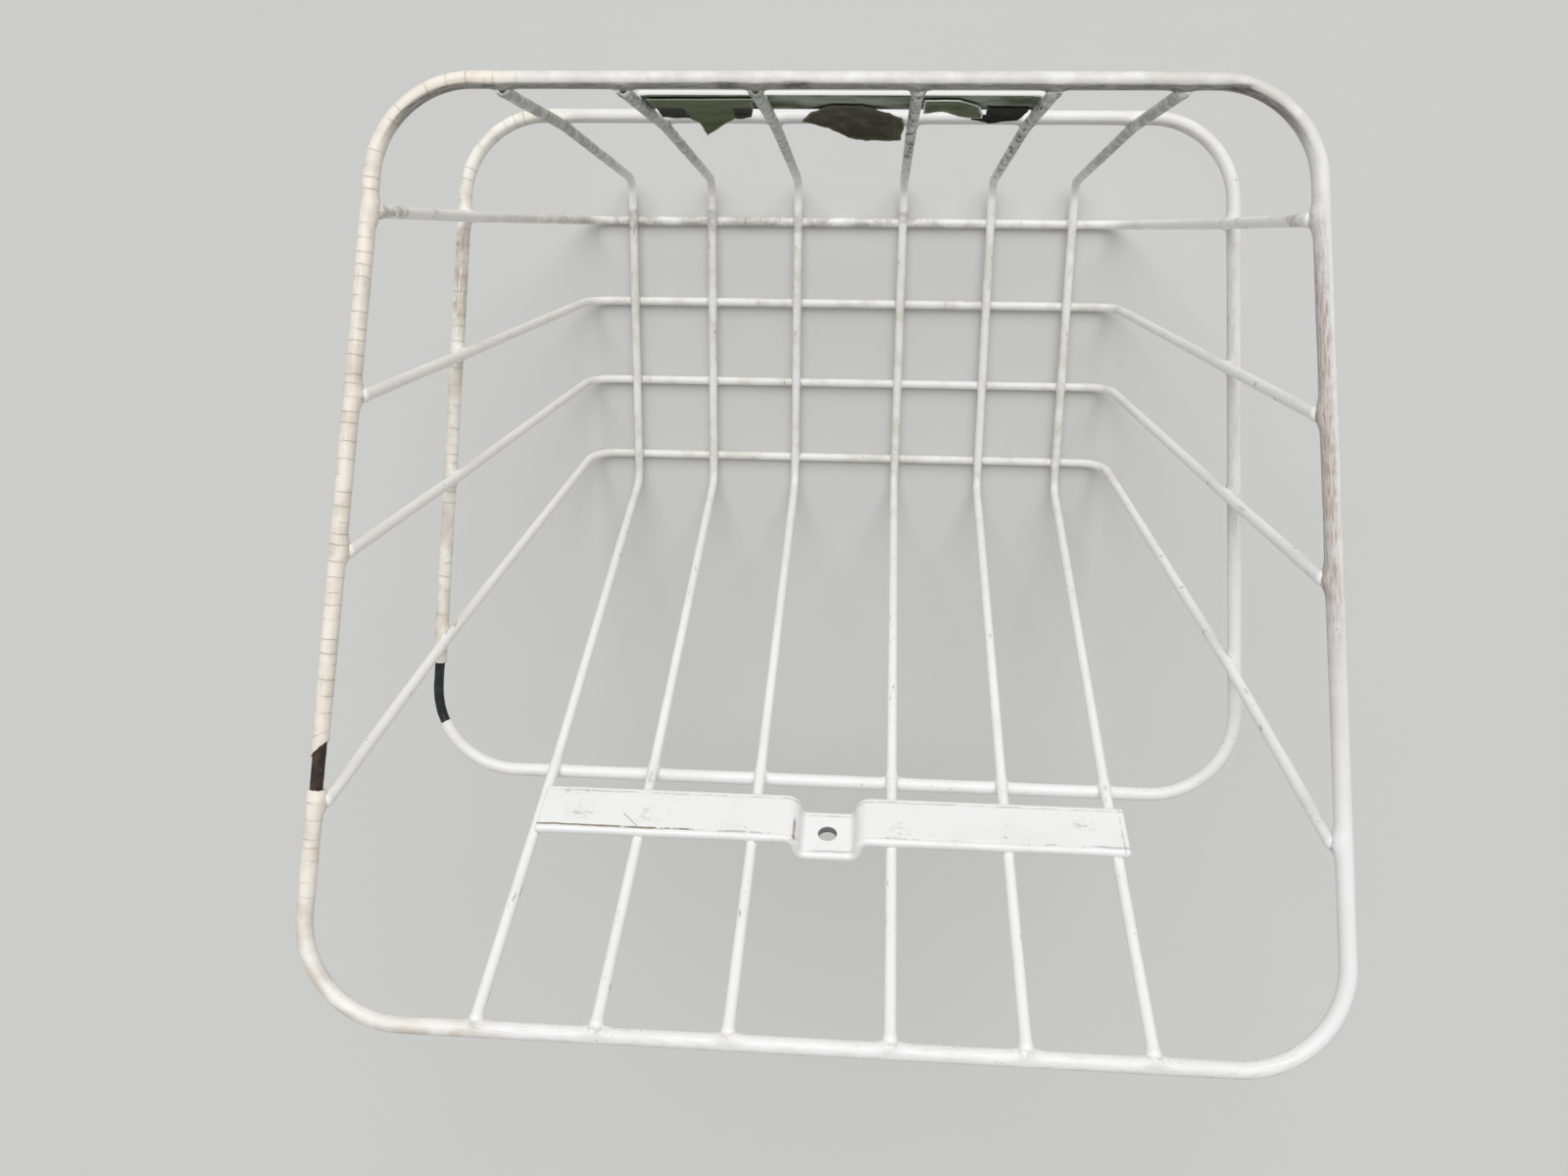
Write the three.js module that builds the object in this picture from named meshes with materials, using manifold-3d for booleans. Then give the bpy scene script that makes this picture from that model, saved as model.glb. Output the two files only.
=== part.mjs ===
// Scooter front basket of welded steel wire with a dip-coated skin. Millimetres, +Z up.
// X runs across the basket and +Y points away from the rider. The rear wall leans back along
// the leg shield, the front wall stands nearly upright and the rim rises towards the rider.
import * as THREE from 'three';
import { mergeVertices } from 'three/addons/utils/BufferGeometryUtils.js';
import Module from 'manifold-3d';

const wasm = await Module();
wasm.setup();

// Wire gauges, measured over the coating, and the bare steel inside the two hoops
const rimDiameter = 5.4;
const rimCoreDiameter = 4.2;
const ringDiameter = 5.0;
const ringCoreDiameter = 3.8;
const longWireDiameter = 4.0;
const crossWireDiameter = 4.0;

// Rim: a rounded trapezoid. Heights here are above the long wires where they cross the floor.
const rimRearWidth = 320.0;
const rimFrontWidth = 282.0;
const rimRearY = -185.5;
const rimFrontY = 95.0;
const rimRearHeight = 288.0;
const rimFrontHeight = 207.0;
const rimCornerRadius = 31.0;

// Middle ring: a second rounded trapezoid, outside every wire
const ringRearWidth = 300.0;
const ringFrontWidth = 274.0;
const ringRearY = -147.5;
const ringFrontY = 90.0;
const ringRearHeight = 181.5;
const ringFrontHeight = 132.0;
const ringCornerRadius = 30.0;

// Floor: the lines where the wires turn up into the walls
const floorFrontY = 71.5;
const floorRearY = -71.5;
const floorWidth = 250.5;
const longBendRadius = 9.0;
const crossBendRadius = 12.0;
const ringKinkRadius = 40.0;

// Long wires run from the front rim under the load to the rear rim, in pairs about the middle
const longWireInnerX = 24.5;
const longWireMiddleX = 65.0;
const longWireOuterX = 102.5;

// Cross wires run from side to side, and their legs fan out towards the rear
const crossWirePlaces = [
  { floorY: 53.0, ringY: 54.5, rimY: 56.0 },
  { floorY: 15.7, ringY: 5.5, rimY: 1.0 },
  { floorY: -22.0, ringY: -39.0, rimY: -45.5 },
  { floorY: -58.7, ringY: -98.0, rimY: -120.5 },
];

// Welded joints: how deep coated wires sink into each other where they cross
const weldSink = 1.4;
const seatClearance = 0.3;

// Feet: every wire ends on the rim's inner side in a domed tip, a little above the rim's centre
// line, and the coating gathers there in a web that runs out along the rim and down the wire
const tipAboveRim = 1.2;
const tipDomeLength = 0.8;
const tipDomeShare = 0.55;
const webAlongRim = 2.4;
const webBelowRim = 1.6;
const webLength = 3.2;

// Broken coating on the left: where each bare stretch starts, rearward of the rearmost cross wire
const rimBareStart = -19.0;
const rimBareLength = 15.0;
const ringBareStart = 8.5;
const ringBareLength = 25.0;

// Rear strap: a flat bar inside the rear wall, stepped outwards around its bolt hole
const strapWidth = 21.5;
const strapThickness = 3.2;
const strapAboveRing = 14.7;
const strapLeftInset = 1.0;
const strapRightOverhang = 4.0;
const strapSink = 0.75;
const strapLip = 0.8;
const stepCentreX = 1.8;
const stepDepth = 8.2;
const stepFloorWidth = 20.5;
const stepMouthWidth = 24.5;
const stepBendRadius = 3.6;
const boltHoleDiameter = 6.4;

// Front plate: a thin flat bar outside the front wall
const plateHeight = 27.0;
const plateThickness = 1.8;
const plateAboveRing = 28.5;
const plateSink = 0.4;
const plateCornerRadius = 1.5;

// Torn film left on the plate's inner face, each piece between two wires. It lies flat down to its
// curl height and rolls inwards below. Its torn edge is a list of [across, up], as shares of half
// the clear gap, from the gap's middle, and of the plate's height, from the plate's lower edge.
const filmThickness = 0.5;
const filmPieces = [
  {
    name: 'film_remnant_left',
    gap: [-longWireMiddleX, -longWireInnerX],
    curlHeight: 0.13,
    curlRadius: 60.0,
    edge: [
      [-0.93, 0.96], [0.96, 1.0], [0.77, -0.17], [0.43, -0.26],
      [-0.18, -0.74], [-0.29, -0.37], [-0.4, 0.02], [-0.91, 0.16],
    ],
  },
  {
    name: 'film_remnant_centre',
    gap: [-longWireInnerX, longWireInnerX],
    curlHeight: 0.42,
    curlRadius: 40.0,
    edge: [
      [-0.59, -0.07], [-0.4, 0.22], [-0.13, 0.5], [0.32, 0.48], [0.67, 0.18],
      [0.91, 0.0], [0.95, -0.13], [0.91, -0.43], [0.21, -0.42], [-0.2, -0.23],
    ],
  },
  {
    name: 'film_remnant_right',
    gap: [longWireInnerX, longWireMiddleX],
    curlHeight: 0.61,
    curlRadius: 60.0,
    edge: [
      [-0.96, 0.95], [-0.35, 0.95], [0.04, 0.51], [0.14, 0.1],
      [-0.2, 0.13], [-0.64, 0.31], [-0.96, 0.27],
    ],
  },
  {
    name: 'film_remnant_far_right',
    gap: [longWireInnerX, longWireMiddleX],
    curlHeight: 0.38,
    curlRadius: 40.0,
    edge: [
      [0.19, 0.42], [0.26, 0.35], [0.93, 0.31], [0.93, 0.19], [0.81, -0.07],
      [0.26, -0.16], [-0.07, -0.05], [-0.09, 0.06], [0.19, 0.06],
    ],
  },
];

// Fineness of the round forms
const wireSides = 12;
const hoopSides = 12;
const holeSides = 24;
const webRings = [1.0, 0.7, 0.0];
const lipSegments = 2;
const cornerSegments = 3;
const curlSteps = 6;
const longBendStep = THREE.MathUtils.degToRad(13);
const crossBendStep = THREE.MathUtils.degToRad(22.5);
const hoopBendStep = THREE.MathUtils.degToRad(13);
const strapBendStep = THREE.MathUtils.degToRad(22);

// Finishes
const coatWhite = { color: 0xe8e9e6, roughness: 0.38, metalness: 0.0 };
const coatYellowed = { color: 0xe4e0d2, roughness: 0.42, metalness: 0.0 };
const rustySteel = { color: 0x3a2a22, roughness: 0.75, metalness: 0.3 };
const blackSteel = { color: 0x1c1c1e, roughness: 0.5, metalness: 0.4 };
const filmGrey = { color: 0x77806f, roughness: 0.55, metalness: 0.0 };

// A wire's centre line as a run of stations, so that straight stretches need no extra rings
class StationCurve extends THREE.Curve {
  constructor(stations) {
    super();
    this.stations = stations;
  }

  getUtoTmapping(share) {
    return share;
  }

  getPoint(share, target = new THREE.Vector3()) {
    const last = this.stations.length - 1;
    const place = THREE.MathUtils.clamp(share, 0, 1) * last;
    const index = Math.min(Math.floor(place), last - 1);
    return target.lerpVectors(this.stations[index], this.stations[index + 1], place - index);
  }
}

function point(x, y, z) {
  return new THREE.Vector3(x, y, z);
}

// Stations of the arc that rounds one corner of a bent wire
function cornerArc(before, corner, after, radius, step) {
  const incoming = corner.clone().sub(before).normalize();
  const outgoing = after.clone().sub(corner).normalize();
  const turn = incoming.angleTo(outgoing);
  const axis = incoming.clone().cross(outgoing).normalize();
  const start = corner.clone().addScaledVector(incoming, -radius * Math.tan(turn / 2));
  const centre = start.clone().addScaledVector(axis.clone().cross(incoming), radius);
  const count = Math.max(1, Math.ceil(turn / step));
  return Array.from({ length: count + 1 }, (_, index) => {
    const spoke = start.clone().sub(centre);
    return spoke.applyAxisAngle(axis, (turn * index) / count).add(centre);
  });
}

// Open path through corners, each inner corner rounded by its own radius
function bentPath(corners, radii, step) {
  const inner = radii.flatMap((radius, index) =>
    cornerArc(corners[index], corners[index + 1], corners[index + 2], radius, step));
  return [corners[0], ...inner, corners.at(-1)];
}

// Closed path through corners that share one radius
function hoopPath(corners, radius) {
  const count = corners.length;
  const stations = corners.flatMap((corner, index) =>
    cornerArc(corners.at(index - 1), corner, corners[(index + 1) % count], radius, hoopBendStep));
  return [...stations, stations[0].clone()];
}

// Corners of a hoop in its own sloping plane, in order from the rear left
function hoopCorners(rearWidth, frontWidth, rearY, frontY, rearHeight, frontHeight) {
  return [
    point(-rearWidth / 2, rearY, rearHeight),
    point(rearWidth / 2, rearY, rearHeight),
    point(frontWidth / 2, frontY, frontHeight),
    point(-frontWidth / 2, frontY, frontHeight),
  ];
}

// Where a hoop passes a coordinate on the wanted side, with its direction there
function hoopCrossing(stations, axis, value, onSide) {
  for (let index = 1; index < stations.length; index += 1) {
    const start = stations[index - 1];
    const end = stations[index];
    const share = (value - start[axis]) / (end[axis] - start[axis]);
    const place = start.clone().lerp(end, share);
    if (share >= 0 && share < 1 && onSide(place)) {
      return { index, place, tangent: end.clone().sub(start).normalize() };
    }
  }
  throw new Error(`no crossing at ${axis} ${value}`);
}

// The same closed path, started at one of its crossings
function startAt(stations, crossing) {
  const open = stations.slice(0, -1);
  const rotated = [...open.slice(crossing.index), ...open.slice(0, crossing.index)];
  return [crossing.place.clone(), ...rotated, crossing.place.clone()];
}

// Part of a path between two distances along it
function pathBetween(stations, from, to) {
  const result = [];
  let travelled = 0;
  for (let index = 1; index < stations.length; index += 1) {
    const start = stations[index - 1];
    const end = stations[index];
    const length = start.distanceTo(end);
    if (from >= travelled && from < travelled + length) {
      result.push(start.clone().lerp(end, (from - travelled) / length));
    }
    if (travelled + length > from && travelled + length < to) {
      result.push(end.clone());
    }
    if (to > travelled && to <= travelled + length) {
      result.push(start.clone().lerp(end, (to - travelled) / length));
    }
    travelled += length;
  }
  return result;
}

function pathLength(stations) {
  return stations.slice(1).reduce((sum, end, index) => sum + end.distanceTo(stations[index]), 0);
}

function roundSection(diameter, sides) {
  const corners = Array.from({ length: sides }, (_, index) => {
    const angle = ((index + 0.5) * 2 * Math.PI) / sides;
    return new THREE.Vector2(Math.cos(angle), Math.sin(angle)).multiplyScalar(diameter / 2);
  });
  return new THREE.Shape(corners);
}

function tube(stations, diameter, sides) {
  return new THREE.ExtrudeGeometry(roundSection(diameter, sides), {
    steps: stations.length - 1,
    extrudePath: new StationCurve(stations),
    bevelEnabled: false,
  });
}

// Boolean solid of a closed three.js geometry
function solid(geometry) {
  const bare = geometry.clone();
  bare.deleteAttribute('normal');
  bare.deleteAttribute('uv');
  const merged = mergeVertices(bare);
  return new wasm.Manifold(new wasm.Mesh({
    numProp: 3,
    vertProperties: new Float32Array(merged.attributes.position.array),
    triVerts: new Uint32Array(merged.index.array),
  }));
}

function geometryOf(body) {
  const mesh = body.getMesh();
  const geometry = new THREE.BufferGeometry();
  geometry.setAttribute('position', new THREE.BufferAttribute(mesh.vertProperties, 3));
  geometry.setIndex(new THREE.BufferAttribute(mesh.triVerts, 1));
  geometry.computeVertexNormals();
  return geometry;
}

function cutAway(geometry, cutters) {
  return cutters.reduce((body, cutter) => body.subtract(solid(cutter)), solid(geometry));
}

function piece(name, geometry, finish) {
  const mesh = new THREE.Mesh(geometry, new THREE.MeshStandardMaterial(finish));
  mesh.name = name;
  return mesh;
}

// The two hoops, each split into its coated run and its bare stretch
const isLeft = (place) => place.x < 0;
const isRight = (place) => place.x > 0;
const isFront = (place) => place.y > 0;
const isRear = (place) => place.y < 0;

const rimPath = hoopPath(
  hoopCorners(rimRearWidth, rimFrontWidth, rimRearY, rimFrontY, rimRearHeight, rimFrontHeight),
  rimCornerRadius,
);
const ringPath = hoopPath(
  hoopCorners(ringRearWidth, ringFrontWidth, ringRearY, ringFrontY, ringRearHeight, ringFrontHeight),
  ringCornerRadius,
);

function splitHoop(stations, referenceY, bareStart, bareLength) {
  const lap = startAt(stations, hoopCrossing(stations, 'y', referenceY, isLeft));
  const total = pathLength(lap);
  const twoLaps = [...lap, ...lap.slice(1)];
  const start = (bareStart + total) % total;
  const end = start + bareLength;
  return {
    bare: pathBetween(twoLaps, start + seatClearance, end - seatClearance),
    coated: pathBetween(twoLaps, end % total, (end % total) + total - bareLength),
  };
}

const rearmost = crossWirePlaces.at(-1);
const rimRuns = splitHoop(rimPath, rearmost.rimY, rimBareStart, rimBareLength);
const ringRuns = splitHoop(ringPath, rearmost.ringY, ringBareStart, ringBareLength);

// Wires: bent paths that lap the rim and the ring on their inner sides and turn at the floor
const ringCentre = point(0, (ringFrontY + ringRearY) / 2, (ringFrontHeight + ringRearHeight) / 2);
const crossWireDrop = (longWireDiameter + crossWireDiameter) / 2 - weldSink;
const webTop = rimDiameter / 2 + webBelowRim;

function seatInHoop(crossing, leg, hoopDiameter, wireDiameter) {
  const normal = crossing.tangent.clone().cross(leg).normalize();
  const outward = Math.sign(normal.dot(crossing.place.clone().sub(ringCentre)));
  const reach = (hoopDiameter + wireDiameter) / 2 - weldSink;
  return crossing.place.clone().addScaledVector(normal, -outward * reach);
}

// A wall leg from its foot on the rim past the ring, down to the corner at the floor
function wallLeg(rimCrossing, ringCrossing, floorCorner, wireDiameter) {
  const wholeLeg = rimCrossing.place.clone().sub(floorCorner);
  const upperLeg = rimCrossing.place.clone().sub(ringCrossing.place);
  const rimSeat = seatInHoop(rimCrossing, upperLeg, rimDiameter, wireDiameter);
  const ringSeat = seatInHoop(ringCrossing, wholeLeg, ringDiameter, wireDiameter);
  const climb = rimSeat.clone().sub(ringSeat).normalize();
  const outward = rimCrossing.place.clone().sub(rimSeat).normalize();
  return { rimSeat, ringSeat, floorCorner, climb, outward };
}

function footPoint({ rimSeat, climb }, height) {
  return rimSeat.clone().addScaledVector(climb, height);
}

// Share of the web's full spread at a height beside the rim, as a round fillet
function webShare(height) {
  const risen = THREE.MathUtils.clamp((height + webTop) / webLength, 0, 1);
  return 1 - Math.sqrt(1 - risen * risen);
}

// Domes the tip and spreads the coating along the rim, on the side that touches it
function shapeFoot(geometry, { rimSeat, climb, outward }, radius, clearance) {
  const along = climb.clone().cross(outward).normalize();
  const tipStart = tipAboveRim - tipDomeLength / 2;
  const positions = geometry.attributes.position;
  for (let index = 0; index < positions.count; index += 1) {
    const vertex = new THREE.Vector3().fromBufferAttribute(positions, index).sub(rimSeat);
    if (vertex.length() < webTop + 2 * radius) {
      const height = vertex.dot(climb);
      const towardsRim = (1 + vertex.dot(outward) / radius) / 2;
      const spread = (webShare(height + clearance) * towardsRim * (webAlongRim + clearance)) / radius;
      vertex.addScaledVector(along, vertex.dot(along) * spread);
      const axisPlace = climb.clone().multiplyScalar(height);
      const dome = height > tipStart ? tipDomeShare : 1;
      vertex.sub(axisPlace).multiplyScalar(dome).add(axisPlace).add(rimSeat);
      positions.setXYZ(index, vertex.x, vertex.y, vertex.z);
    }
  }
}

// A wire's solid form, or with a clearance the room that it takes in a piece that carries it
function wireForm(stock, first, last, clearance) {
  const tip = tipAboveRim + clearance;
  const corners = [
    footPoint(first, tip), first.ringSeat, first.floorCorner,
    last.floorCorner, last.ringSeat, footPoint(last, tip),
  ];
  const radii = [ringKinkRadius, stock.floorBend, stock.floorBend, ringKinkRadius];
  const path = bentPath(corners, radii, stock.bendStep);
  const webHeights = webRings.map((share) => share * webLength - webTop - clearance);
  const footHeights = [tip - tipDomeLength, ...webHeights];
  const stations = [
    path[0],
    ...footHeights.map((height) => footPoint(first, height)),
    ...path.slice(1, -1),
    ...footHeights.map((height) => footPoint(last, height)).reverse(),
    path.at(-1),
  ];
  const geometry = tube(stations, stock.diameter + 2 * clearance, wireSides);
  shapeFoot(geometry, first, stock.diameter / 2 + clearance, clearance);
  shapeFoot(geometry, last, stock.diameter / 2 + clearance, clearance);
  return geometry;
}

function wire(name, stock, first, last) {
  const form = wireForm(stock, first, last, 0);
  const cutter = wireForm(stock, first, last, seatClearance);
  return { name, form, cutter, first, last };
}

const longStock = {
  diameter: longWireDiameter,
  floorBend: longBendRadius,
  bendStep: longBendStep,
};
const crossStock = {
  diameter: crossWireDiameter,
  floorBend: crossBendRadius,
  bendStep: crossBendStep,
};

function longWire(name, x) {
  const front = wallLeg(
    hoopCrossing(rimPath, 'x', x, isFront),
    hoopCrossing(ringPath, 'x', x, isFront),
    point(x, floorFrontY, 0),
    longWireDiameter,
  );
  const rear = wallLeg(
    hoopCrossing(rimPath, 'x', x, isRear),
    hoopCrossing(ringPath, 'x', x, isRear),
    point(x, floorRearY, 0),
    longWireDiameter,
  );
  return wire(name, longStock, front, rear);
}

function crossWire(name, { floorY, ringY, rimY }) {
  const left = wallLeg(
    hoopCrossing(rimPath, 'y', rimY, isLeft),
    hoopCrossing(ringPath, 'y', ringY, isLeft),
    point(-floorWidth / 2, floorY, -crossWireDrop),
    crossWireDiameter,
  );
  const right = wallLeg(
    hoopCrossing(rimPath, 'y', rimY, isRight),
    hoopCrossing(ringPath, 'y', ringY, isRight),
    point(floorWidth / 2, floorY, -crossWireDrop),
    crossWireDiameter,
  );
  return wire(name, crossStock, left, right);
}

const longWireX = [
  -longWireOuterX, -longWireMiddleX, -longWireInnerX,
  longWireInnerX, longWireMiddleX, longWireOuterX,
];
const longWires = longWireX.map((x, index) => longWire(`long_wire_${index + 1}`, x));
const crossWires = crossWirePlaces.map((place, index) => crossWire(`cross_wire_${index + 1}`, place));

// A finished piece of wire, notched for every wire that it carries
function notched(form, carried) {
  return geometryOf(cutAway(form, carried.map((inner) => inner.cutter)));
}

// A wall's own frame: X across, Z up along the wires from the ring, Y forwards through the wall
function wallFrame(leg) {
  const frame = new THREE.Group();
  frame.position.set(0, leg.ringSeat.y, leg.ringSeat.z);
  frame.rotation.x = Math.atan2(-leg.climb.y, leg.climb.z);
  return frame;
}

// Cutters for the long wires, in a wall's frame
function wallNotches(frame) {
  frame.updateMatrix();
  const intoWall = frame.matrix.clone().invert();
  return longWires.map(({ cutter }) => cutter.clone().applyMatrix4(intoWall));
}

const middleWire = longWires[longWires.length / 2];
const frontWall = wallFrame(middleWire.first);
const rearWall = wallFrame(middleWire.last);

// Outline of a bent flat bar, from its middle line and thickness
function barOutline(path, thickness) {
  const curve = new StationCurve(path);
  const face = (side) => path.map((station, index) => {
    const tangent = curve.getTangent(index / (path.length - 1));
    const reach = (side * thickness) / 2;
    return new THREE.Vector2(station.x - tangent.y * reach, station.y + tangent.x * reach);
  });
  return [...face(-1), ...face(1).reverse()];
}

function strapGeometry() {
  const level = longWireDiameter / 2 - strapSink + strapThickness / 2;
  const stepLevel = level - stepDepth;
  const corners = [
    point(-longWireOuterX + strapLeftInset, level, 0),
    point(stepCentreX - stepMouthWidth / 2, level, 0),
    point(stepCentreX - stepFloorWidth / 2, stepLevel, 0),
    point(stepCentreX + stepFloorWidth / 2, stepLevel, 0),
    point(stepCentreX + stepMouthWidth / 2, level, 0),
    point(longWireOuterX + strapRightOverhang, level, 0),
  ];
  const radii = corners.slice(1, -1).map(() => stepBendRadius);
  const path = bentPath(corners, radii, strapBendStep);
  const bar = new THREE.ExtrudeGeometry(new THREE.Shape(barOutline(path, strapThickness)), {
    depth: strapWidth - 2 * strapLip,
    bevelThickness: strapLip,
    bevelSize: strapLip,
    bevelOffset: -strapLip,
    bevelSegments: lipSegments,
  });
  bar.translate(0, 0, strapAboveRing + strapLip);
  const boltRadius = boltHoleDiameter / 2;
  const boltHole = new THREE.CylinderGeometry(boltRadius, boltRadius, 2 * strapThickness, holeSides);
  boltHole.translate(stepCentreX, stepLevel, strapAboveRing + strapWidth / 2);
  return geometryOf(cutAway(bar, [boltHole, ...wallNotches(rearWall)]));
}

const plateInnerY = longWireDiameter / 2 - plateSink;

function roundedRectangle(width, height, radius) {
  const shape = new THREE.Shape();
  const quarter = Math.PI / 2;
  const x = width / 2 - radius;
  const y = height / 2 - radius;
  shape.absarc(x, y, radius, 0, quarter);
  shape.absarc(-x, y, radius, quarter, 2 * quarter);
  shape.absarc(-x, -y, radius, 2 * quarter, 3 * quarter);
  shape.absarc(x, -y, radius, 3 * quarter, 4 * quarter);
  return shape;
}

// Turns an extrusion so that its outline stands in the wall and its depth runs through the wall
function standInWall(geometry, innerY, depth) {
  geometry.rotateX(Math.PI / 2);
  geometry.translate(0, innerY + depth, 0);
  return geometry;
}

function plateGeometry() {
  const outline = roundedRectangle(2 * longWireMiddleX, plateHeight, plateCornerRadius);
  const bar = new THREE.ExtrudeGeometry(outline, {
    depth: plateThickness,
    bevelEnabled: false,
    curveSegments: cornerSegments,
  });
  standInWall(bar, plateInnerY, plateThickness);
  bar.translate(0, 0, plateAboveRing + plateHeight / 2);
  return geometryOf(cutAway(bar, wallNotches(frontWall)));
}

// Middle line of a film in section, as [forwards through the wall, height above the ring]
function filmSection(curlHeight, curlRadius, top, bottom) {
  const level = plateInnerY - seatClearance - filmThickness / 2;
  const turn = Math.asin((curlHeight - bottom) / curlRadius);
  const curl = Array.from({ length: curlSteps + 1 }, (_, index) => {
    const angle = (turn * index) / curlSteps;
    const inwards = curlRadius * (1 - Math.cos(angle));
    return point(level - inwards, curlHeight - curlRadius * Math.sin(angle), 0);
  });
  return [point(level, top, 0), ...curl];
}

// A torn piece of film: the rolled sheet, a little larger all round, cut to the torn edge
function filmGeometry({ gap: [gapLeft, gapRight], curlHeight, curlRadius, edge }) {
  const gapMiddle = (gapLeft + gapRight) / 2;
  const gapHalf = (gapRight - gapLeft - longWireDiameter) / 2;
  const heightAt = (share) => plateAboveRing + share * plateHeight;
  const outline = edge.map(([across, up]) =>
    new THREE.Vector2(gapMiddle + across * gapHalf, heightAt(up)));
  const spare = 2 * filmThickness;
  const extent = new THREE.Box2().setFromPoints(outline).expandByScalar(spare);
  const path = filmSection(heightAt(curlHeight), curlRadius, extent.max.y, extent.min.y);
  const sheet = new THREE.ExtrudeGeometry(new THREE.Shape(barOutline(path, filmThickness)), {
    depth: extent.max.x - extent.min.x,
    bevelEnabled: false,
  });
  sheet.applyMatrix4(new THREE.Matrix4().makeBasis(point(0, 1, 0), point(0, 0, 1), point(1, 0, 0)));
  sheet.translate(extent.min.x, 0, 0);
  const depth = 2 * curlRadius;
  const torn = new THREE.ExtrudeGeometry(new THREE.Shape(outline), { depth, bevelEnabled: false });
  standInWall(torn, -curlRadius, depth);
  return geometryOf(solid(sheet).intersect(solid(torn)));
}

// The whole basket, standing on its floor wires with its box centred over the origin
const basket = new THREE.Group();
const allWires = [...longWires, ...crossWires];

const rimForm = tube(rimRuns.coated, rimDiameter, hoopSides);
basket.add(piece('rim', notched(rimForm, allWires), coatYellowed));
basket.add(piece('rim_bare_core', tube(rimRuns.bare, rimCoreDiameter, hoopSides), rustySteel));

const ringForm = tube(ringRuns.coated, ringDiameter, hoopSides);
basket.add(piece('mid_ring', notched(ringForm, allWires), coatYellowed));
basket.add(piece('mid_ring_bare_core', tube(ringRuns.bare, ringCoreDiameter, hoopSides), blackSteel));

longWires.forEach((long) => {
  basket.add(piece(long.name, geometryOf(solid(long.form)), coatWhite));
});
crossWires.forEach((cross) => {
  basket.add(piece(cross.name, notched(cross.form, longWires), coatWhite));
});

rearWall.add(piece('rear_strap', strapGeometry(), coatWhite));
frontWall.add(piece('front_plate', plateGeometry(), coatWhite));
filmPieces.forEach((film) => {
  frontWall.add(piece(film.name, filmGeometry(film), filmGrey));
});
basket.add(frontWall, rearWall);

basket.updateMatrixWorld(true);
const box = new THREE.Box3().setFromObject(basket, true);
const boxCentre = box.getCenter(new THREE.Vector3());
basket.position.set(0, -boxCentre.y, -box.min.z);

export default basket;
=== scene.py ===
"""Looks of a scooter's front basket: welded steel wire under a white dip coating, used and worn.

Every piece stands in the CAD frame, in metres: X across, +Y away from the rider, +Z up.
"""

from __future__ import annotations

import logging
import math
from collections.abc import Sequence
from dataclasses import dataclass, field
from enum import Enum

import bmesh
import bpy
from bmesh.types import BMEdge, BMesh, BMLayerItem, BMVert
from mathutils import Matrix, Vector, noise


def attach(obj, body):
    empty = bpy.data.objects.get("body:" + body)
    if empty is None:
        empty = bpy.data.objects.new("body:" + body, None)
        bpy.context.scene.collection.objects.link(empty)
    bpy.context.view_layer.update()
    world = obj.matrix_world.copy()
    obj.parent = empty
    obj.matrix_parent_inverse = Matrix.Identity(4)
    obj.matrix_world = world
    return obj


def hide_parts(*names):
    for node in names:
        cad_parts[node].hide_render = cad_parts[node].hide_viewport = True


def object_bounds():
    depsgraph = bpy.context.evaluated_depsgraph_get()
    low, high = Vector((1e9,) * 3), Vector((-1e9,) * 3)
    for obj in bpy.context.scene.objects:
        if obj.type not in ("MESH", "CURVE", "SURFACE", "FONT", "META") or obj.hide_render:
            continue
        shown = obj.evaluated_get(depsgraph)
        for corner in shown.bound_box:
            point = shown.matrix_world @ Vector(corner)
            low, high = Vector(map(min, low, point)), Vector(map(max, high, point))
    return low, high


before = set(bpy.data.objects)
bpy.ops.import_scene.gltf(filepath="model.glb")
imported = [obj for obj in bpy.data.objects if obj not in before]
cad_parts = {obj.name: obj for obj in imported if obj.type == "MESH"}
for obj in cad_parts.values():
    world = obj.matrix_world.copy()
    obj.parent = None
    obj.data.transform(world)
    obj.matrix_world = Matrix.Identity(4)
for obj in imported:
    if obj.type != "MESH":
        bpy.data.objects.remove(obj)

LOG = logging.getLogger("basket")
CAD_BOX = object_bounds()
BODY = "root"

# noise_vector takes its offsets from the clock until a seed is set
TEAR_SEED = 7

# The basket's drawing has its own origin on the floor wires; this moves it into the CAD frame
SHIFT = Vector((0.0, 0.04525, 0.0045985))

# How deep a wire's outline is sunk into its neighbour's at a weld
WELD_SINK = 0.0014

# Vertices as near as this are merged on delivery, and lengths under the second are none
MERGE = 3e-6
TINY = 1e-7

Colour = tuple[float, float, float, float]
Spots = tuple[tuple[float, ...], ...]


class Slot(Enum):
    """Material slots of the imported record."""

    COATING = "white_coating"
    RUST = "rusty_steel"
    DARK = "dark_steel"
    FILM = "torn_film"


class Wall(Enum):
    """Sides of the basket as seen by the rider, by the number of the hoop corner that each starts from."""

    REAR = 0
    RIGHT = 1
    FRONT = 2
    LEFT = 3


# Shader tools


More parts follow.
